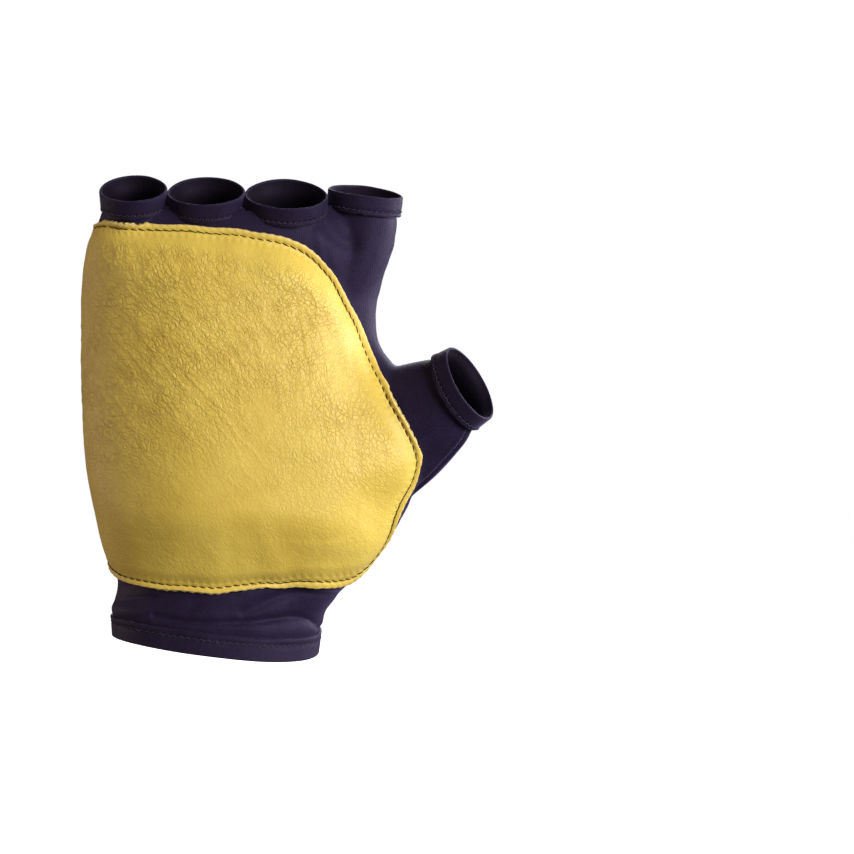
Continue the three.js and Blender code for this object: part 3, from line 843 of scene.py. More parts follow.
@dataclass(frozen=True)
class LeatherFinish:
    """Soft golden yellow grain leather: pebbles drawn out along its creases, with painted shade in its
    furrows and creases, raw and pale at its cut edge.
    """

    name: str
    light: str = "#dcc157"
    mid: str = "#cdae44"
    # painted shade for the grain's furrows and creases
    dark: str = "#86611a"
    cut: str = "#d8bd74"
    cell_mm: float = 1.0

    def pebbles(self, add: Callable, place: object, turn: float, drawn: float, cell: float) -> object:
        """Flat-topped pebbles with narrow furrows between them.

        Args:
            add: Adds a node to the material.
            place: Coordinates in millimetres.
            turn: Way along which the pebbles are drawn out, in degrees from level.
            drawn: Their length over their width.
            cell: Their width in millimetres.

        Returns:
            Height from 0 in a furrow to 1 on a pebble.
        """
        level, scale = (0.0, 0.0, math.radians(turn)), (cell * drawn, cell, 1.0)
        inputs = {"Vector": place, "Rotation": level, "Scale": scale}
        cells = {"Vector": add("Mapping", inputs, vector_type="TEXTURE"), "Scale": 1.0}
        gap = add("MapRange", (add("TexVoronoi", cells, feature="DISTANCE_TO_EDGE"), 0.0, 0.15))
        centre = add("TexVoronoi", cells)
        dome = add("MapRange", (add("Math", (centre, centre), operation="MULTIPLY"), 0.0, 0.6, 0.35, 0.0))
        return add("Math", (gap, 0.65, dome), operation="MULTIPLY_ADD")

    def creases(self, add: Callable, place: object, turn: float, size: float) -> object:
        """Long fine creases, which lie where a drawn-out noise passes its middle value.

        Args:
            add: Adds a node to the material.
            place: Coordinates in millimetres.
            turn: Their way, in degrees from level.
            size: Distance between them in millimetres.

        Returns:
            1 on a crease and 0 off it.
        """
        level, scale = (0.0, 0.0, math.radians(turn)), (size * 3.6, size, 1.0)
        inputs = {"Vector": place, "Rotation": level, "Scale": scale}
        drawn = add("Mapping", inputs, vector_type="TEXTURE")
        value = add("TexNoise", {"Vector": drawn, "Scale": 1.0, "Detail": 0.6, "Roughness": 0.5})
        off = add("Math", (add("Math", (value, 0.5), operation="SUBTRACT"),), operation="ABSOLUTE")
        return add("MapRange", (off, 0.0, 0.045, 1.0, 0.0))

    def build(self) -> bpy.types.Material:
        """Makes the material, which reads the hide's coordinates, creasing and distance from the cut edge.

        Returns:
            The material.
        """
        material, add = new_material(self.name)
        hide = add("UVMap", uv_map="hide")
        names = ("from_edge", "creased", "thumbwards")
        edge, creased, right = (add("Attribute", out="Fac", attribute_name=name) for name in names)
        wobble = add("TexNoise", {"Vector": hide, "Scale": 0.3, "Detail": 1.0}, out="Color")
        shift = add("VectorMath", (wobble, (2.2, 2.2, 0.0)), operation="MULTIPLY")
        place = add("VectorMath", (hide, shift), operation="ADD")
        slanted = self.pebbles(add, place, -50.0, 2.0, self.cell_mm)
        upright = self.pebbles(add, place, -78.0, 1.35, self.cell_mm * 1.1)
        patch = add("TexNoise", {"Vector": hide, "Scale": 0.11, "Detail": 3.0, "Roughness": 0.6})
        patch = add("MapRange", (patch, 0.4, 0.62))
        swap = add("MapRange", (add("Math", (patch, 0.3, right), operation="MULTIPLY_ADD"), 0.35, 0.85))
        apart = add("Math", (upright, slanted), operation="SUBTRACT")
        large = add("Math", (swap, apart, slanted), operation="MULTIPLY_ADD")
        crossing = (self.creases(add, place, -46.0, 2.7), self.creases(add, place, -72.0, 3.3))
        lines = add("Math", crossing, operation="MAXIMUM")
        strength = add("Math", (patch, 0.4, 0.6), operation="MULTIPLY_ADD")
        strength = add("Math", (creased, strength), operation="MULTIPLY")
        low = add("TexNoise", {"Vector": hide, "Scale": 1.5, "Detail": 3.0, "Roughness": 0.65})
        low = add("Math", (low, 0.75), operation="MULTIPLY")
        height = add("Math", (large, strength, low), operation="MULTIPLY_ADD")
        sharp = add("Math", (lines, strength), operation="MULTIPLY")
        height = add("Math", (sharp, -0.45, height), operation="MULTIPLY_ADD")
        tone = add("TexNoise", {"Vector": hide, "Scale": 0.05, "Detail": 4.0, "Roughness": 0.6})
        colours = {0: add("MapRange", (tone, 0.3, 0.72)), MIX_A: srgb(self.mid), MIX_B: srgb(self.light)}
        colour = add("Mix", colours, out=MIX_RESULT, data_type=COLOURS)
        # painted shade: the furrows between the pebbles and the fine creases darkened towards the dark colour
        furrow = add("Math", (1.0, large), operation="SUBTRACT")
        furrow = add("Math", (furrow, strength), operation="MULTIPLY")
        furrow = add("Math", (furrow, add("Math", (sharp, 0.8), operation="MULTIPLY")), operation="MAXIMUM")
        furrow = add("Math", (furrow, 0.42), operation="MULTIPLY")
        colours = {0: furrow, MIX_A: colour, MIX_B: srgb(self.dark)}
        colour = add("Mix", colours, out=MIX_RESULT, data_type=COLOURS)
        raw = add("MapRange", (edge, 0.1, 0.7, 1.0, 0.0))
        colour = add("Mix", {0: raw, MIX_A: colour, MIX_B: srgb(self.cut)}, out=MIX_RESULT, data_type=COLOURS)
        sockets = {
            "Base Color": colour,
            "Roughness": 0.5,
            "Specular IOR Level": 0.45,
            "Sheen Weight": 0.05,
            "Sheen Roughness": 0.5,
            "Normal": add("Bump", {"Height": height, "Distance": 0.00015, "Strength": 1.0}),
        }
        add("OutputMaterial", (add("BsdfPrincipled", sockets),))
        return material


@dataclass(frozen=True)
class ThreadFinish:
    """Twisted sewing thread with a slight gloss."""

    name: str
    light: str
    dark: str

    def build(self) -> bpy.types.Material:
        """Makes the material, which reads object coordinates.

        Returns:
            The material.
        """
        material, add = new_material(self.name)
        waves = {"Vector": add("TexCoord", out="Object"), "Scale": 900.0, "Distortion": 2.0}
        twist = add("TexWave", waves, out="Fac", bands_direction="DIAGONAL")
        colours = {0: twist, MIX_A: srgb(self.dark), MIX_B: srgb(self.light)}
        sockets = {
            "Base Color": add("Mix", colours, out=MIX_RESULT, data_type=COLOURS),
            "Roughness": 0.75,
            "Specular IOR Level": 0.25,
            "Normal": add("Bump", {"Height": twist, "Distance": 0.00005, "Strength": 0.6}),
        }
        add("OutputMaterial", (add("BsdfPrincipled", sockets),))
        return material


class Finishes:
    """Every material of the glove, made once."""

    def __init__(self) -> None:
        """Makes the materials."""
        # nylon knit as it shows outside, on the panels and on the turned hems
        self.knit = KnitFinish("knit_nylon", "#261e36", "#0c0912").build()
        self.hem = KnitFinish("hem_nylon", "#251d34", "#0d0a13").build()
        # the same knit's inner face, its colour darkened as painted shade for the dark inside of the glove
        self.shaded_lining = KnitFinish("shaded_lining_nylon", "#16111a", "#09070c", gloss=0.1, sheen=0.03).build()
        # cowhide of the palm
        self.leather = LeatherFinish("cowhide_yellow").build()
        # dark brown lockstitch thread of the palm
        self.brown_thread = ThreadFinish("thread_dark_brown", "#38240c", "#1a0f05").build()
        # grey violet coverstitch thread of the hems
        self.grey_thread = ThreadFinish("thread_grey_violet", "#4e465e", "#1d1826").build()


def dress(
    obj: bpy.types.Object, slot: str, *materials: bpy.types.Material, replaces: Sequence[str] = ()
) -> None:
    """Gives a piece its materials and its body, and hides the CAD nodes that it stands for.

    Args:
        obj: The piece.
        slot: Not used.
        *materials: Its materials, the outer one first.
        replaces: The CAD nodes that it replaces.
    """
    for material in materials:
        obj.data.materials.append(material)
    log.info("%s: %d faces", obj.name, len(obj.data.polygons))
    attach(obj, "root")
    if replaces:
        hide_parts(*replaces)


class Side(Enum):
    """The two knitted panels, by the side of the middle surface that they lie on."""

    PALM = -1
    BACK = 1


@dataclass(frozen=True)
class FoldLine:
    """A fold or crease of the knit: a line across one side of the glove, in millimetres."""

    side: Side
    points: tuple
    width: float
    rise: float

    def lift(self, p: np.ndarray, side: np.ndarray) -> np.ndarray:
        """Lift of the cloth: a bell across the line that fades out past its ends.

        Args:
            p: Points, last axis 3.
            side: Signed distance from the middle surface, positive at the back.

        Returns:
            One value in millimetres for each point.
        """
        line = np.array(self.points, float)
        q = p[..., [0, 2]]
        nearest = np.full(p.shape[:-1], 1e9)
        for a, b in zip(line[:-1], line[1:]):
            step = b - a
            t = np.clip(((q - a) @ step) / (step @ step), 0, 1)
            nearest = np.minimum(nearest, np.linalg.norm(q - a - t[..., None] * step, axis=-1))
        facing = np.clip(side * self.side.value / 4, 0, 1)
        return self.rise * facing * bell(nearest, 0.0, self.width)


FOLDS = (
    # the sharp crease over the cuff's hem, and the cloth that bulges above it
    FoldLine(
        Side.PALM,
        (
            (32.3, 4.7), (29.0, 7.7), (26.0, 8.9), (22.5, 9.2),
            (12.8, 8.1), (0.0, 7.8), (-8.0, 8.1), (-17.7, 9.9),
        ),
        0.9,
        -0.95,
    ),
    FoldLine(Side.PALM, ((30.5, 11.9), (21.5, 12.4), (12.0, 10.9), (0.0, 10.4)), 2.6, 0.4),
    # the soft valley that climbs to the thumb side, with a lit ridge under it
    FoldLine(Side.PALM, ((35.0, 16.7), (26.0, 17.1), (20.0, 15.6), (15.2, 13.5), (9.0, 10.6)), 1.3, -0.65),
    FoldLine(Side.PALM, ((15.5, 17.4), (3.6, 13.6), (-4.6, 10.9)), 2.0, 0.45),
    FoldLine(Side.PALM, ((6.0, 17.8), (-6.0, 13.4)), 1.6, -0.35),
    # the little-finger side
    FoldLine(Side.PALM, ((-30.5, 13.2), (-25.0, 14.8), (-17.0, 15.2)), 0.9, -0.6),
    FoldLine(Side.PALM, ((-30.0, 10.5), (-20.0, 12.0)), 2.0, 0.4),
    # the soft valley between the index and middle fingers' roots, and two gathers under it
    FoldLine(Side.PALM, ((33.3, 131.5), (34.5, 127.7), (37.5, 124.0), (41.2, 122.0)), 2.8, -1.0),
    FoldLine(Side.PALM, ((31.3, 125.0), (32.8, 117.0)), 1.3, 0.3),
    FoldLine(Side.PALM, ((34.6, 122.0), (36.2, 116.0)), 1.3, 0.25),
    # the back of the wrist
    FoldLine(Side.BACK, ((-30, 13), (-18, 19), (-6, 21)), 1.6, -0.7),
    FoldLine(Side.BACK, ((34, 30), (24, 20), (12, 14)), 1.8, -0.8),
    FoldLine(Side.BACK, ((38, 26), (30, 16), (20, 10)), 2.4, 0.7),
)


@dataclass
class KnitShell:
    """The two knitted panels: one smooth skin over the hand and its stubs, cut at the mouths and the seam."""

    finishes: Finishes
    stubs: Sequence[Stub]
    voxel: float = 0.7
    noise: Lattice = field(default_factory=lambda: Lattice(11))

    def skin(self) -> bpy.types.Mesh:
        """Remeshes the union of the lofted hand, fingers and thumb into one skin with soft junctions.

        Returns:
            The skin's mesh.
        """
        turn = np.linspace(0, 2 * np.pi, 120, endpoint=False)
        heights = np.linspace(-2.0, HAND_LENGTH, 150)
        parts = [hand_point(heights[:, None], turn[None], 0.0)]
        for stub in self.stubs:
            down = np.linspace(-2.0, stub.length, 60)
            parts.append(stub.ring(down[:, None], turn[None, ::2], 0.0))
        points, quads, fans, start = [], [], [], 0
        for rings in parts:
            p, q, t = capped_tube(rings)
            points.append(p)
            quads.append(q + start)
            fans.append(t + start)
            start += len(p)
        source = make_mesh("skin", np.concatenate(points), [np.concatenate(quads), np.concatenate(fans)])
        bm = bmesh.new()
        bm.from_mesh(source)
        bmesh.ops.recalc_face_normals(bm, faces=bm.faces)
        bm.to_mesh(source)
        bm.free()
        obj = add_object("skin", source)
        remesh = obj.modifiers.new("Remesh", "REMESH")
        remesh.mode = "VOXEL"
        remesh.voxel_size = self.voxel * MM
        smooth = obj.modifiers.new("Smooth", "SMOOTH")
        smooth.iterations = 10
        smooth.factor = 0.5
        mesh = evaluated(obj)
        bpy.data.objects.remove(obj)
        return mesh

    def creases(self, p: np.ndarray) -> np.ndarray:
        """Lift of the cloth.

        It adds up the folds, the puckered side seam, the fullness over the cuff's hem, the heel, the waist
        above the cuff and a slow unevenness.

        Args:
            p: Points of the skin.

        Returns:
            One value in millimetres for each point.
        """
        side = p[:, 1] - middle(p[:, 0], p[:, 2])
        lift = sum(fold.lift(p, side) for fold in FOLDS)
        seam = np.abs(side)
        pucker = SEAM_PUCKER * self.noise.at(p, 3.4) * bell(seam, 0.0, 3.5)
        groove = -SEAM_GROOVE * bell(seam, 0.0, 0.9) + SEAM_RIDGE * bell(seam, 1.9, 1.1)
        over_hem = p[:, 2] - cuff_tilt(p[:, 0], p[:, 1]) - CUFF_HEM_HEIGHT
        blouse = OVER_HEM * bell(over_hem, 2.6, 2.6)
        heel = HEEL_FULLNESS * bell(p[:, 2], 19.0, 7.0) * ease(p[:, 0], 20, 32)
        waist = -WAIST_DRAW * bell(p[:, 2], 17.0, 5.0) * ease(-p[:, 0], 18, 27)
        uneven = SLOW_UNEVEN * self.noise.at(p, 17.0) + QUICK_UNEVEN * self.noise.at(p, 6.0)
        return lift + pucker + groove + blouse + heel + waist + uneven

    def beyond_mouths(self, p: np.ndarray) -> np.ndarray:
        """Finds what lies past a mouth's rim, where a hem takes over.

        Args:
            p: Points of the skin.

        Returns:
            True for each point past a rim.
        """
        out = p[:, 2] - cuff_tilt(p[:, 0], p[:, 1]) < RIM_INSET
        for stub in self.stubs:
            down, size = stub.place(p)
            out |= (down < RIM_INSET) & (down > -9) & (size < 1.3)
        return out

    def weave(self, panel: bpy.types.Mesh) -> None:
        """Gives a panel its weave coordinates.

        The wales run up the hand, counted by x where the cloth faces front or back, else by y.

        Args:
            panel: The panel's mesh.
        """
        p, normal = coordinates(panel), coordinates(panel, "normal")
        write_uv(panel, "weave", p[:, [0, 2]])
        write_uv(panel, "edgewise", p[:, [1, 2]])
        write_values(panel, "sideways", ease(np.abs(normal[:, 0]), 0.6, 0.8))

    @staticmethod
    def bend(p: np.ndarray) -> np.ndarray:
        """Shifts along y by which the middle surface leaves the plane y = 0 at points."""
        return middle(p[:, 0], p[:, 2])[:, None] * [0, 1, 0]

    def build(self) -> bpy.types.Object:
        """Makes both panels.

        Returns:
            The whole outer skin, for the leather to be seated on.
        """
        mesh = self.skin()
        p = coordinates(mesh)
        p += coordinates(mesh, "normal") * self.creases(p)[:, None]
        move_vertices(mesh, p - self.bend(p))
        bm = bmesh.new()
        bm.from_mesh(mesh)
        everything = bm.verts[:] + bm.edges[:] + bm.faces[:]
        bmesh.ops.bisect_plane(bm, geom=everything, plane_co=(0, 0, 0), plane_no=(0, 1, 0))
        bm.to_mesh(mesh)
        bm.free()
        flat = coordinates(mesh)
        back = face_centres(mesh)[:, 1] > 0
        move_vertices(mesh, flat + self.bend(flat))
        centres = face_centres(mesh)
        kept = ~self.beyond_mouths(centres)
        whole = add_object("whole_skin", keep_faces(mesh, "whole_skin", kept))
        for chosen, name in ((back & kept, "back_panel"), (~back & kept, "palm_panel")):
            panel = keep_faces(mesh, f"knit_{name}", chosen)
            self.weave(panel)
            obj = add_object(f"knit_{name}", panel)
            wall = obj.modifiers.new("Wall", "SOLIDIFY")
            wall.thickness = KNIT_WALL * MM
            wall.offset = -1
            # the wall's inner face and rim take the lining, whose darker colour is painted shade for the
            # glove's inside
            wall.material_offset = 1
            wall.material_offset_rim = 1
            dress(obj, "knit", self.finishes.knit, self.finishes.shaded_lining, replaces=[name])
        bpy.data.meshes.remove(mesh)
        return whole


@dataclass
class Stitches:
    """Short raised stitches in a row: each a bowed capsule that dips into the cloth at its ends."""

    name: str
    length: float
    radius: float
    bow: float

    def build(self, points: np.ndarray, along: np.ndarray, out: np.ndarray) -> bpy.types.Object:
        """Makes all the stitches as one mesh.

        The capsule's centre line is a parabola over its length, and its radius falls as the fourth root
        of one minus the share of its half length to the fourth.

        Args:
            points: Middles of the stitches.
            along: Unit vectors along them.
            out: Unit vectors out of the cloth.

        Returns:
            The object.
        """
        t = np.array([-1, -0.85, -0.5, 0, 0.5, 0.85, 1.0])
        turn = np.linspace(0, 2 * np.pi, 6, endpoint=False)
        size = self.radius * np.maximum(1 - t**4, 0.06) ** 0.5
        side = np.cross(along, out)
        spine = (
            points[:, None]
            + along[:, None] * (t * self.length / 2)[None, :, None]
            + out[:, None] * (self.bow * (1 - t**2) - self.bow * 0.5)[None, :, None]
        )
        rings = spine[:, :, None] + (
            side[:, None, None] * np.cos(turn)[:, None] + out[:, None, None] * np.sin(turn)[:, None]
        ) * size[None, :, None, None]
        cloud = np.concatenate([rings.reshape(len(rings), -1, 3), rings[:, [0, -1]].mean(2)], 1)
        starts = np.arange(len(rings))[:, None, None] * cloud.shape[1]
        groups = [(faces + starts).reshape(-1, faces.shape[1]) for faces in capped_tube(rings[0])[1:]]
        return add_object(self.name, make_mesh(self.name, cloud.reshape(-1, 3), groups, closed=True))


def resample(line: np.ndarray, pitch: float, closed: bool = True) -> tuple:
    """Evenly spaced places along a polyline.

    Args:
        line: Points, last axis 3.
        pitch: Distance wanted between places.
        closed: Whether the line joins up with its start.

    Returns:
        Places as fractional indices into the line.
    """
    loop = np.concatenate([line, line[:1]]) if closed else line
    far = np.concatenate([[0], np.cumsum(np.linalg.norm(np.diff(loop, axis=0), axis=-1))])
    count = max(int(round(far[-1] / pitch)), 2)
    return np.interp((np.arange(count) + 0.5) / count * far[-1], far, np.arange(len(loop)))


def read_line(line: np.ndarray, places: np.ndarray) -> np.ndarray:
    """Values of a closed line.

    Args:
        line: Values by point.
        places: Fractional indices into it.

    Returns:
        One row for each place.
    """
    i = np.floor(places).astype(int)
    t = (places - i)[:, None]
    return line[i % len(line)] * (1 - t) + line[(i + 1) % len(line)] * t


@dataclass
class Hem:
    """A turned and coverstitched hem: the knit folded out over a mouth's rim and sewn down at its lip."""

    finishes: Finishes
    name: str
    node: str
    height: float
    ring: Callable
    around: int
    stitch_pitch: float
    stitch_up: float
    seed: int
    far_rise: float = 0.0
    press: float = 0.0
    out: float = HEM_OUT
    leg_point: int = 12  # the section's point, on the outer leg, along which the weave is measured
    inner_points: int = 8  # the section's last points, which face into the glove

    def profile(self) -> np.ndarray:
        """Closed section of the fold.

        It goes over the rim as half a circle, down the outer leg to the lip, back under it, over the knit's
        edge, and down the inner leg and up again.

        Returns:
            Pairs of way down from the rim and distance out from the knit.
        """
        bend = np.linspace(0, np.pi, 9)
        half = HEM_FOLD / 2
        rim = np.stack([half - half * np.sin(bend), self.out - half - half * np.cos(bend)], -1)
        low, tip, end, wall = self.height, self.out - 0.3, self.height + HEM_TAIL, -KNIT_WALL
        leg = np.array([[d, self.out - 0.25 * d / low] for d in np.linspace(0.8, low - 0.35, 12)])
        lip = [[low - 0.1, tip - 0.1], [low, tip - 0.3], [low - 0.05, (tip + 0.2) / 2], [low - 0.35, 0.2]]
        under = [[low - 1.2, 0.15], [2.4, 0.15], [2.2, -0.3], [2.7, -0.5]]
        tail = [[low, -0.5], [end, -0.5], [end + 0.2, -0.6], [end - 0.3, wall + 0.05]]
        inner = [[low + 1.2, wall - 0.3], [low - 0.5, wall - 0.45], [3.4, wall - 0.4]]
        inner += [[2.2, -0.6], [1.2, 0.2]]
        return np.concatenate([rim, leg, lip, under, tail, inner])

    def surface(self, angle: np.ndarray, profile: np.ndarray) -> np.ndarray:
        """The hem swept round its mouth, with the soft unevenness of sewn cloth.

        The outer leg is drawn in along the stitch row and flares past it to the lip, both a little more at
        each stitch, and slow noise moves the lip and the rim.

        Args:
            angle: Angles round the mouth.
            profile: The section.

        Returns:
            Points of shape angles by section by 3.
        """
        down, away = (np.repeat(profile[None, :, k], len(angle), 0) for k in (0, 1))
        circle = np.stack([np.cos(angle), np.sin(angle), 0 * angle + self.seed], -1)
        noise = Lattice(self.seed)
        slow, quick = noise.at(circle, 0.55)[:, None], noise.at(circle, 0.16)[:, None]
        outer = away > 0.5 * self.out
        row = self.height - self.stitch_up
        dent = bell(down, row, 0.55)
        flare = ease(down, row, self.height)
        away += np.where(outer, -0.22 * dent * (1 + 0.5 * quick) + flare * (0.05 + 0.16 * quick), 0)
        away += np.where(outer, 0.1, 0.0) * slow * ease(down, 0, 3)
        down += np.where(away > 0.1, flare * (0.2 * slow + 0.12 * quick), 0)
        down += (0.14 * slow - self.far_rise * np.clip(np.sin(angle), 0, 1)[:, None]) * (1 - ease(down, 0, 3))
        away += self.press * np.cos(angle)[:, None] ** 8 * (away > 0)
        return self.ring(down, angle[:, None], away)

    def build(self) -> None:
        """Makes the hem and its two rows of thread."""
        angle = np.linspace(0, 2 * np.pi, self.around, endpoint=False)
        profile = self.profile()
        points = self.surface(angle, profile)
        faces = grid_faces(len(angle), len(profile), True, True)
        mesh = make_mesh(self.name, points.reshape(-1, 3), [faces], closed=True)
        length = np.concatenate([[0], np.cumsum(np.linalg.norm(np.diff(profile, axis=0), axis=-1))])
        leg = points[:, self.leg_point]
        edge = np.linalg.norm(np.diff(leg, axis=0, append=leg[:1]), axis=-1)
        u = np.cumsum(edge)[:, None] + 0 * length[None]
        weave = np.stack([u, np.broadcast_to(length, u.shape)], -1).reshape(-1, 2)
        write_uv(mesh, "weave", weave)
        write_uv(mesh, "edgewise", weave)
        # painted shade at the stitch holes: a value that peaks at each stitch along the row, which the knit's
        # material reads to darken the cloth there
        count = round(edge.sum() / self.stitch_pitch)
        beat = 0.5 + 0.5 * np.cos(2 * np.pi * count * u / edge.sum())
        row = self.height - self.stitch_up
        near = bell(profile[:, 0], row, 0.5) * (profile[:, 1] > 0.5 * self.out)
        write_values(mesh, "hole_shade", (beat**1.5 * near[None]).ravel())
        obj = add_object(self.name, mesh)
        dress(obj, "hem", self.finishes.hem, self.finishes.shaded_lining, replaces=[self.node])
        # the faces that look into the glove take the lining, whose darker colour is painted shade
        inside = np.zeros((len(angle), len(profile)), np.int32)
        inside[:, -self.inner_points :] = 1
        mesh.polygons.foreach_set("material_index", inside.ravel())
        self.sew(angle)

    def sew(self, angle: np.ndarray) -> None:
        """Lays the coverstitch: pairs of short slanted stitches along the row above the lip.

        Args:
            angle: Angles round the mouth.
        """
        out, low = self.out - 0.2, self.height - self.stitch_up
        row = np.array([[low, out], [low + 0.5, out]])
        line = self.surface(angle, row)
        outer = self.surface(angle, row + [0, 1.0])
        places = resample(line[:, 0], self.stitch_pitch)
        middles, lower = read_line(line[:, 0], places), read_line(line[:, 1], places)
        out_way = unit(read_line(outer[:, 0], places) - middles)
        way = unit(read_line(line[:, 0], places + 0.5) - read_line(line[:, 0], places - 0.5))
        down_way = unit(lower - middles)
        for part, lean in (("a", 0.45), ("b", -0.45)):
            along = unit(way * 0.8 + down_way * lean)
            shift = way * (0.25 * self.stitch_pitch * (1 if lean > 0 else -1))
            thread = Stitches(f"{self.name}_thread_{part}", self.stitch_pitch * 0.6, 0.11, 0.12)
            obj = thread.build(middles + shift + out_way * 0.12, along, out_way)
            dress(obj, "hem", self.finishes.grey_thread)


def loop_through(points: np.ndarray, count: int) -> np.ndarray:
    """A smooth closed curve through points, evenly spaced.

    Each span is a centripetal spline, the same curve as the CAD part's outline.

    Args:
        points: Corners of shape (n, 2).
        count: Number of points wanted.

    Returns:
        Points of shape (count, 2).
    """
    before, after, later = np.roll(points, 1, 0), np.roll(points, -1, 0), np.roll(points, -2, 0)
    pairs = ((before, points), (points, after), (after, later))
    gaps = [np.maximum(np.linalg.norm(b - a, axis=-1) ** 0.5, 1e-4)[:, None] for a, b in pairs]
    first = (points - before) / gaps[0] - (after - before) / (gaps[0] + gaps[1]) + (after - points) / gaps[1]
    last = (after - points) / gaps[1] - (later - points) / (gaps[1] + gaps[2]) + (later - after) / gaps[2]
    first, last = first * gaps[1], last * gaps[1]
    t = np.linspace(0, 1, 60, endpoint=False)[None, :, None]
    p, q, m, k = points[:, None], after[:, None], first[:, None], last[:, None]
    curve = (2 * t**3 - 3 * t**2 + 1) * p + (t**3 - 2 * t**2 + t) * m
    curve = (curve + (3 * t**2 - 2 * t**3) * q + (t**3 - t**2) * k).reshape(-1, 2)
    loop = np.concatenate([curve, curve[:1]])
    far = np.concatenate([[0], np.cumsum(np.linalg.norm(np.diff(loop, axis=0), axis=-1))])
    wanted = np.arange(count) / count * far[-1]
    return np.stack([np.interp(wanted, far, loop[:, k]) for k in (0, 1)], -1)


@dataclass
class PalmPad:
    """The padded leather palm: a sewn flange, a step up on to the padding and a crowned, creased middle."""

    finishes: Finishes
    skin: bpy.types.Object
    stubs: Sequence[Stub]
    around: int = 560
    inwards: int = 130
    noise: Lattice = field(default_factory=lambda: Lattice(5))

    def ragged(self, outline: np.ndarray) -> np.ndarray:
        """The outline as cut and sewn: drawn in at each stitch, and slowly uneven.

        Args:
            outline: Points of the closed outline.

        Returns:
            The moved points.
        """
        way = unit(np.roll(outline, -1, 0) - np.roll(outline, 1, 0))
        inwards = np.stack([-way[:, 1], way[:, 0]], -1)
        far = np.cumsum(np.linalg.norm(np.diff(outline, axis=0, prepend=outline[-1:]), axis=-1))
        beat = np.cos(2 * np.pi * round(far[-1] / STITCH_PITCH) * far / far[-1])
        at = np.stack([outline[:, 0], outline[:, 1], 0 * far], -1)
        drawn_in = 0.1 * beat + 0.3 * self.noise.at(at, 7.0) + 0.12 * self.noise.at(at, 3.1)
        return outline + inwards * drawn_in[:, None]

    def distances(self, reach: np.ndarray) -> np.ndarray:
        """Distances in from the edge: the same near it, then shares of the way to the middle.

        Args:
            reach: Distance from each edge point to the middle.

        Returns:
            One row of distances for each edge point.
        """
        t = np.linspace(0, 1, self.inwards)
        near, far, split = 16.0, 0.996, 0.42
        absolute = near * (np.minimum(t, split) / split) ** 1.25
        share = np.clip((t - split) / (1 - split), 0, 1)
        return absolute[None] + (reach[:, None] * far - near) * share[None]

    def inside(self, p: np.ndarray) -> np.ndarray:
        """Tests points against the hand, the thumb and the fingers.

        Args:
            p: Points, last axis 3.

        Returns:
            True for points inside any of them.
        """
        centre, half, deep, power = hand_section(p[..., 2])
        across = np.abs((p[..., 0] - centre) / half)
        through = np.abs((p[..., 1] - middle(p[..., 0], p[..., 2])) / deep)
        within = across ** (2 / power) + through ** (2 / power) < 1
        for stub in self.stubs:
            root = stub.centre(np.array(stub.length))
            near = (p[..., 2] > root[2] - stub.wide) & (p[..., 0] > root[0] - stub.wide)
            near &= p[..., 0] < stub.x + stub.wide
            down, size = stub.place(p[near])
            within[near] |= (size < 1) & (down > 0) & (down < stub.length)
        return within

    def seat(self, along: np.ndarray, z: np.ndarray) -> tuple:
        """Lines out through the cloth, and how far along them the cloth lies.

        A line starts on the middle surface, points to the palm, and fans round the hand's two sides at the
        ends. The furthest point of it that is inside the hand or a stub is found by steps, then halving.

        Args:
            along: Places over the cloth from the little-finger side.
            z: Heights.

        Returns:
            Starts, unit directions, distances to the cloth, and how far past the little-finger turn a place
            lies, in radians.
        """
        share = z / HAND_LENGTH
        little, thumb = PAD_TURNS.at("little", share) * PALM_WIDTH, PAD_TURNS.at("thumb", share) * PALM_WIDTH
        x = np.clip(along, little, thumb)
        angle = (along - x) / PAD_TURN_RADIUS
        out = np.stack([np.sin(angle), -np.cos(angle), 0 * angle], -1)
        start = np.stack([x, middle(x, z), z], -1)
        far = np.zeros_like(x)
        for step in np.linspace(34, 0, 69):
            hit = self.inside(start + out * step) & (far == 0)
            far[hit] = step
        low, high = far, far + 0.5
        for _ in range(6):
            mid = (low + high) / 2
            within = self.inside(start + out * mid[..., None])
            low, high = np.where(within, mid, low), np.where(within, high, mid)
        return start, out, low, (little - along) / PAD_TURN_RADIUS

    def relaxed(self, grid: np.ndarray, times: int) -> np.ndarray:
        """Smooths values round the loop and inwards, and leaves the edge as it is.

        Args:
            grid: Values by place round the loop and level inwards.
            times: Number of rounds.

        Returns:
            The smoothed values.
        """
        for _ in range(times):
            around = (np.roll(grid, 1, 0) + np.roll(grid, -1, 0)) / 2
            inner = (grid[:, :-2] + grid[:, 2:]) / 2
            grid = grid.copy()
            grid[:, 1:-1] = (grid[:, 1:-1] + around[:, 1:-1] + inner) / 3
        return grid

    def settle(self, base: np.ndarray) -> np.ndarray:
        """Lifts the base just clear of the knitted skin, wherever it lies under it.

        Args:
            base: Grid of points.

        Returns:
            The lifted grid.
        """
        mesh = make_mesh("pad_base", base.reshape(-1, 3), [grid_faces(*base.shape[:2], True, False)])
        obj = add_object("pad_base", mesh)
        wrap = obj.modifiers.new("Wrap", "SHRINKWRAP")
        wrap.target = self.skin
        wrap.wrap_method = "NEAREST_SURFACEPOINT"
        wrap.wrap_mode = "OUTSIDE"
        wrap.offset = 0.12 * MM
        lifted = coordinates(evaluated(obj)).reshape(base.shape)
        bpy.data.objects.remove(obj)
        return lifted

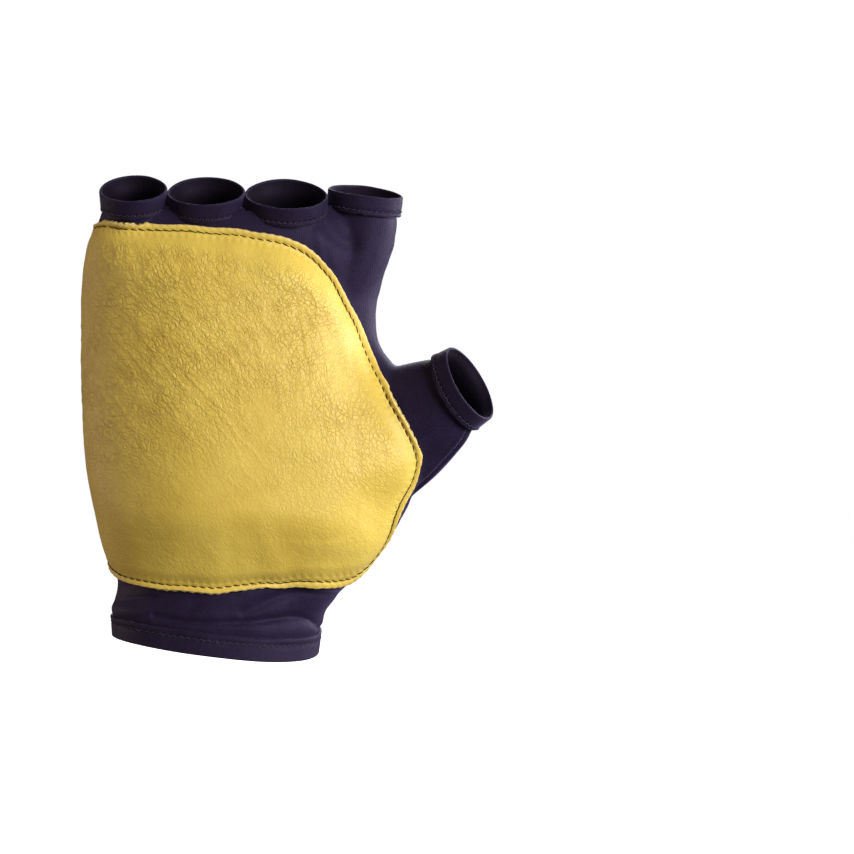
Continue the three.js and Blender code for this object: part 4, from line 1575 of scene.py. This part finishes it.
    def build(self) -> None:
        """Makes the pad and its thread."""
        scale = np.array([PALM_WIDTH, HAND_LENGTH])
        outline = self.ragged(loop_through(np.array(PAD_OUTLINE) * scale, self.around))
        fan = np.array(PAD_MIDDLE) * scale
        reach = np.linalg.norm(outline - fan, axis=-1)
        inward = self.distances(reach)
        share = (inward / reach[:, None])[..., None]
        place = outline[:, None] * (1 - share) + fan * share
        start, out, far, turned = self.seat(place[..., 0], place[..., 1])
        far = self.relaxed(far, 30)
        base = self.settle(start + out * (far + CLEARANCE)[..., None])
        base = np.stack([self.relaxed(base[..., k], 14) for k in range(3)], -1)
        normal = unit(np.cross(np.roll(base, -1, 0) - np.roll(base, 1, 0), np.gradient(base, axis=1)))
        normal *= np.sign((normal * out).sum(-1))[..., None]
        normal[:, -8:] = unit(normal[:, -8:].mean((0, 1)))
        rise, creased = self.rise(place, inward, turned)
        top = base + normal * rise[..., None]
        self.mesh(top, base, normal, place, inward, creased)
        self.sew(top, normal, inward)

    def rise(self, place: np.ndarray, inward: np.ndarray, turned: np.ndarray) -> tuple:
        """Height of the leather over the cloth, and how creased it is there.

        From the edge in: a flange as thick as the hide, drawn down at the stitches, a soft slope, and a
        rounded step on to padding that crowns to its full thickness. Slow waves and drawn-out ridges of
        noise lie over it.

        Args:
            place: Places over the cloth and heights.
            inward: Distances from the edge.
            turned: How far past the little-finger turn, in radians.

        Returns:
            Heights in millimetres, and creasing from 0 to 1.
        """
        edge_round = LEATHER_WALL * np.sqrt(np.clip(1 - (1 - np.clip(inward / 0.35, 0, 1)) ** 2, 0, 1))
        side = ease(turned, -1.35, 1.15)
        across, up = place[..., 0], place[..., 1]
        crown = PAD_CROWN * bell(across, 4, 22) * ease(inward, 6, 26)
        run = PAD_RUN + PAD_RUN_HEEL * (1 - ease(up, 28, 62))
        run = run - PAD_RUN_INDEX * ease(across, 5, 25) * ease(up, 85, 105)
        full = PAD_THICKNESS * (1 - side) + PAD_SIDE_THICKNESS * side - LEATHER_WALL
        full *= 1 - PAD_THINNED * ease(across, 28, 58) * (1 - ease(up, 80, 100))
        slope = ease(inward, STITCH_INSET, STITCH_INSET + 4.5)
        step = np.sin(np.pi / 2 * np.clip((inward - STITCH_INSET - 1.2) / run, 0, 1))
        shoulder = bell(inward, 9.5, 1.7) * ease(across, -10, 25) * ease(up, 60, 100)
        rise = edge_round + full * (0.12 * slope + 0.88 * step) + crown + PAD_SHOULDER * shoulder
        loop = np.arange(len(inward)) / len(inward)
        phase = 2 * np.pi * np.round(PAD_EDGE_LENGTH / STITCH_PITCH) * loop[:, None]
        rise -= bell(inward, STITCH_INSET, 0.55) * (STITCH_GROOVE + STITCH_DIMPLE * np.cos(phase))
        rise += 0.14 * np.cos(phase) * bell(inward - STITCH_INSET, 1.3, 0.9)
        rise += 0.10 * np.cos(phase + 0.6) * bell(inward, 0.5, 0.6)
        p3 = np.stack([across, up, 0 * inward], -1)
        drawn = np.stack([self.drawn(place, -50.0) * [0.3, 1], self.drawn(place, -80.0) * [0.35, 1]])
        layers = [np.concatenate([d, 0 * inward[..., None] + 3 * k], -1) for k, d in enumerate(drawn)]
        noise = [self.noise.at(layer, 2.4) for layer in layers]
        swap = ease(across, -5.0, 35.0)
        ridges = 1 - np.abs(noise[0] * (1 - swap) + noise[1] * swap)
        fades = ease(inward, 4.0, 9.0)
        region = 0.25 + 0.75 * ease(up, 38, 70)
        creased = fades * region * np.clip(0.75 + 0.5 * self.noise.at(p3, 22.0), 0.2, 1.0)
        rise += creased * GRAIN_RIDGE * (ridges**3 - 0.4)
        rise += PAD_WAVE * self.noise.at(p3, 19.0) * ease(inward, 3, 12)
        return rise, 0.15 + 0.85 * creased

    @staticmethod
    def drawn(place: np.ndarray, turn: float) -> np.ndarray:
        """Coordinates along and across a direction.

        Args:
            place: Places over the cloth.
            turn: The direction in degrees from level.

        Returns:
            Pairs of coordinates.
        """
        c, s = math.cos(math.radians(turn)), math.sin(math.radians(turn))
        return np.stack([place[..., 0] * c + place[..., 1] * s, place[..., 1] * c - place[..., 0] * s], -1)

    def mesh(
        self,
        top: np.ndarray,
        base: np.ndarray,
        normal: np.ndarray,
        place: np.ndarray,
        inward: np.ndarray,
        creased: np.ndarray,
    ) -> None:
        """Closes the leather: the top, the cut edge and an underside, as one mesh with its attributes.

        Args:
            top: Grid of points on the leather.
            base: Grid of points under it.
            normal: Unit vectors out of the cloth.
            place: Places over the cloth.
            inward: Distances from the edge.
            creased: Creasing from 0 to 1.
        """
        count, levels = top.shape[:2]
        under_levels = [0, levels // 3, levels - 1]
        under = base[:, under_levels] + normal[:, under_levels] * 0.05
        shell = np.concatenate([top[:, ::-1], under], 1)
        total = shell.shape[1]
        points = np.concatenate([shell.reshape(-1, 3), top[:, -1].mean(0)[None], under[:, -1].mean(0)[None]])
        quads = grid_faces(count, total, True, False)
        i = np.arange(count)
        i2, centre = (i + 1) % count, count * total
        fans = np.concatenate(
            [
                np.stack([np.full(count, centre), i * total, i2 * total], -1),
                np.stack([np.full(count, centre + 1), i2 * total + total - 1, i * total + total - 1], -1),
            ]
        )
        mesh = make_mesh("leather_palm", points, [quads, fans], closed=True)

        def spread(values: np.ndarray) -> np.ndarray:
            """Copies values to the top, the underside and the two middles.

            Args:
                values: One row of values for each point of the grid.

            Returns:
                One row for each point of the mesh.
            """
            both = np.concatenate([values[:, ::-1], values[:, under_levels]], 1)
            middle_value = values[:, -1].mean(0)[None]
            return np.concatenate([both.reshape(count * total, -1), middle_value, middle_value])

        write_uv(mesh, "hide", spread(place))
        write_values(mesh, "from_edge", spread(inward[..., None])[:, 0])
        write_values(mesh, "thumbwards", spread(ease(place[..., :1], -15.0, 40.0))[:, 0])
        write_values(mesh, "creased", spread(creased[..., None])[:, 0])
        obj = add_object("leather_palm", mesh)
        dress(obj, "leather", self.finishes.leather, replaces=["palm_pad"])

    def sew(self, top: np.ndarray, normal: np.ndarray, inward: np.ndarray) -> None:
        """Lays the lockstitch in the flange's groove, each stitch a little askew.

        Args:
            top: Grid of points on the leather.
            normal: Unit vectors out of the cloth.
            inward: Distances from the edge.
        """
        level = int(np.argmin(np.abs(inward[0] - STITCH_INSET)))
        line, outs = top[:, level], normal[:, level]
        places = resample(line, STITCH_PITCH)
        way = unit(read_line(line, places + 1) - read_line(line, places - 1))
        out_way = unit(read_line(outs, places))
        along = unit(way + 0.16 * np.cross(way, out_way))
        thread = Stitches("leather_palm_thread", STITCH_PITCH * 1.02, 0.16, 0.15)
        obj = thread.build(read_line(line, places) + out_way * 0.12, along, out_way)
        dress(obj, "leather", self.finishes.brown_thread)


class Studio:
    """Camera, soft lights and a pale floor."""

    def build(self) -> None:
        """Makes the stage."""
        self.camera()
        self.light("key", (0.72, -0.67, 0.26), 0.45, 13.3, "#ffffff")
        self.light("side", (0.88, 0.28, 0.2), 0.5, 8.0, "#f6f2ff")
        self.light("fill", (-0.05, -0.95, 0.3), 0.8, 1.5, "#ffe4c8")
        self.light("rim", (-0.8, 0.12, 0.1), 0.4, 2.1, "#ffe6cf")
        self.light("back", (0.3, 0.9, 0.5), 0.8, 5.5, "#ffffff")
        world = bpy.data.worlds.new("studio")
        world.use_nodes = True
        world.node_tree.nodes.clear()
        add = partial(add_node, world.node_tree)
        soft, seen = (add("Background", {"Color": WHITE, "Strength": strength}) for strength in (0.11, 1.0))
        add("OutputWorld", (add("MixShader", (add("LightPath", out="Is Camera Ray"), soft, seen)),))
        bpy.context.scene.world = world
        bpy.context.scene.view_settings.view_transform = "Standard"
        self.floor()

    def camera(self) -> None:
        """Stands the camera before the palm and pans it, so that the glove lies at the picture's left."""
        data = bpy.data.cameras.new("camera")
        data.sensor_width = 36.0
        data.lens = 88.4
        obj = add_object("camera", data)
        obj.location = (0.015, -0.65, 0.0665)
        aim = Vector((0.0657, 0.0, 0.0665)) - obj.location
        obj.rotation_euler = aim.to_track_quat("-Z", "Y").to_euler()
        bpy.context.scene.camera = obj

    def light(self, name: str, place: tuple, size: float, power: float, colour: str) -> None:
        """Adds a square soft light aimed at the glove's middle.

        Args:
            name: Its name.
            place: Its place in metres.
            size: Its side in metres.
            power: Its power in watts.
            colour: Its sRGB hex code.
        """
        data = bpy.data.lights.new(name, "AREA")
        data.size = size
        data.energy = power
        data.color = srgb(colour)[:3]
        obj = add_object(name, data)
        obj.location = place
        obj.rotation_euler = (Vector((0.02, 0, 0.07)) - obj.location).to_track_quat("-Z", "Y").to_euler()

    def floor(self) -> None:
        """Lays a wide pale floor under the glove."""
        turn = np.linspace(0, 2 * np.pi, 96, endpoint=False)
        ring = np.stack([np.cos(turn), np.sin(turn), 0 * turn], -1)
        rings = np.concatenate([ring * 5, ring * 400, ring * 2500]).reshape(3, 96, 3) + [0, 0, -110.0]
        points, quads, fans = capped_tube(rings)
        mesh = make_mesh("floor", points[:-1], [quads, fans[:96]])
        material, add = new_material("floor_paper")
        noise = {"Vector": add("TexCoord", out="Object"), "Scale": 90.0, "Detail": 3.0, "Roughness": 0.55}
        colours = {0: add("TexNoise", noise), MIX_A: srgb("#f6f6f6"), MIX_B: WHITE}
        colour = add("Mix", colours, out=MIX_RESULT, data_type=COLOURS)
        sockets = {"Base Color": colour, "Roughness": 0.9, "Emission Color": WHITE, "Emission Strength": 0.95}
        add("OutputMaterial", (add("BsdfPrincipled", sockets),))
        mesh.materials.append(material)
        floor = add_object("floor", mesh)
        floor.visible_diffuse = False
        floor.visible_glossy = False


class Glove:
    """The whole glove: its shell first, then what is sewn to it."""

    def __init__(self) -> None:
        """Makes the finishes and the stubs."""
        self.finishes = Finishes()
        self.fingers = [finger_stub(f) for f in FINGERS]
        self.thumb = thumb_stub()

    def build(self) -> None:
        """Builds every piece."""
        skin = KnitShell(self.finishes, [*self.fingers, self.thumb]).build()
        PalmPad(self.finishes, skin, [*self.fingers, self.thumb]).build()
        bpy.data.objects.remove(skin)
        for seed, stub in enumerate([*self.fingers, self.thumb], 21):
            height = THUMB_HEM_HEIGHT if stub is self.thumb else FINGER_HEM_HEIGHT
            rise, press = (0.0, 0.0) if stub is self.thumb else (0.8, 0.2)
            rim = partial(Hem, self.finishes, f"{stub.name}_rim", f"{stub.name}_hem", height, stub.ring)
            rim(300, 1.8, 1.3, seed, rise, press).build()
        rim = partial(Hem, self.finishes, "cuff_rim", "cuff_hem", CUFF_HEM_HEIGHT, self.cuff_ring)
        rim(640, 2.1, 2.0, 31, out=CUFF_HEM_OUT).build()

    @staticmethod
    def cuff_ring(down: np.ndarray, angle: np.ndarray, away: np.ndarray) -> np.ndarray:
        """Points round the cuff.

        Args:
            down: Ways up from the cuff's rim.
            angle: Angles round it.
            away: Distances out from the knit.

        Returns:
            Points of the broadcast shape, last axis 3.
        """
        down, angle, away = np.broadcast_arrays(down, angle, away)
        skin, grown = hand_point(down, angle, 0.0), hand_point(down, angle, 1.0)
        return skin + (grown - skin) * away[..., None]


def main() -> None:
    logging.basicConfig(level=logging.INFO, format="%(name)s: %(message)s")
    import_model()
    Glove().build()
    Studio().build()


if __name__ == "__main__":
    main()
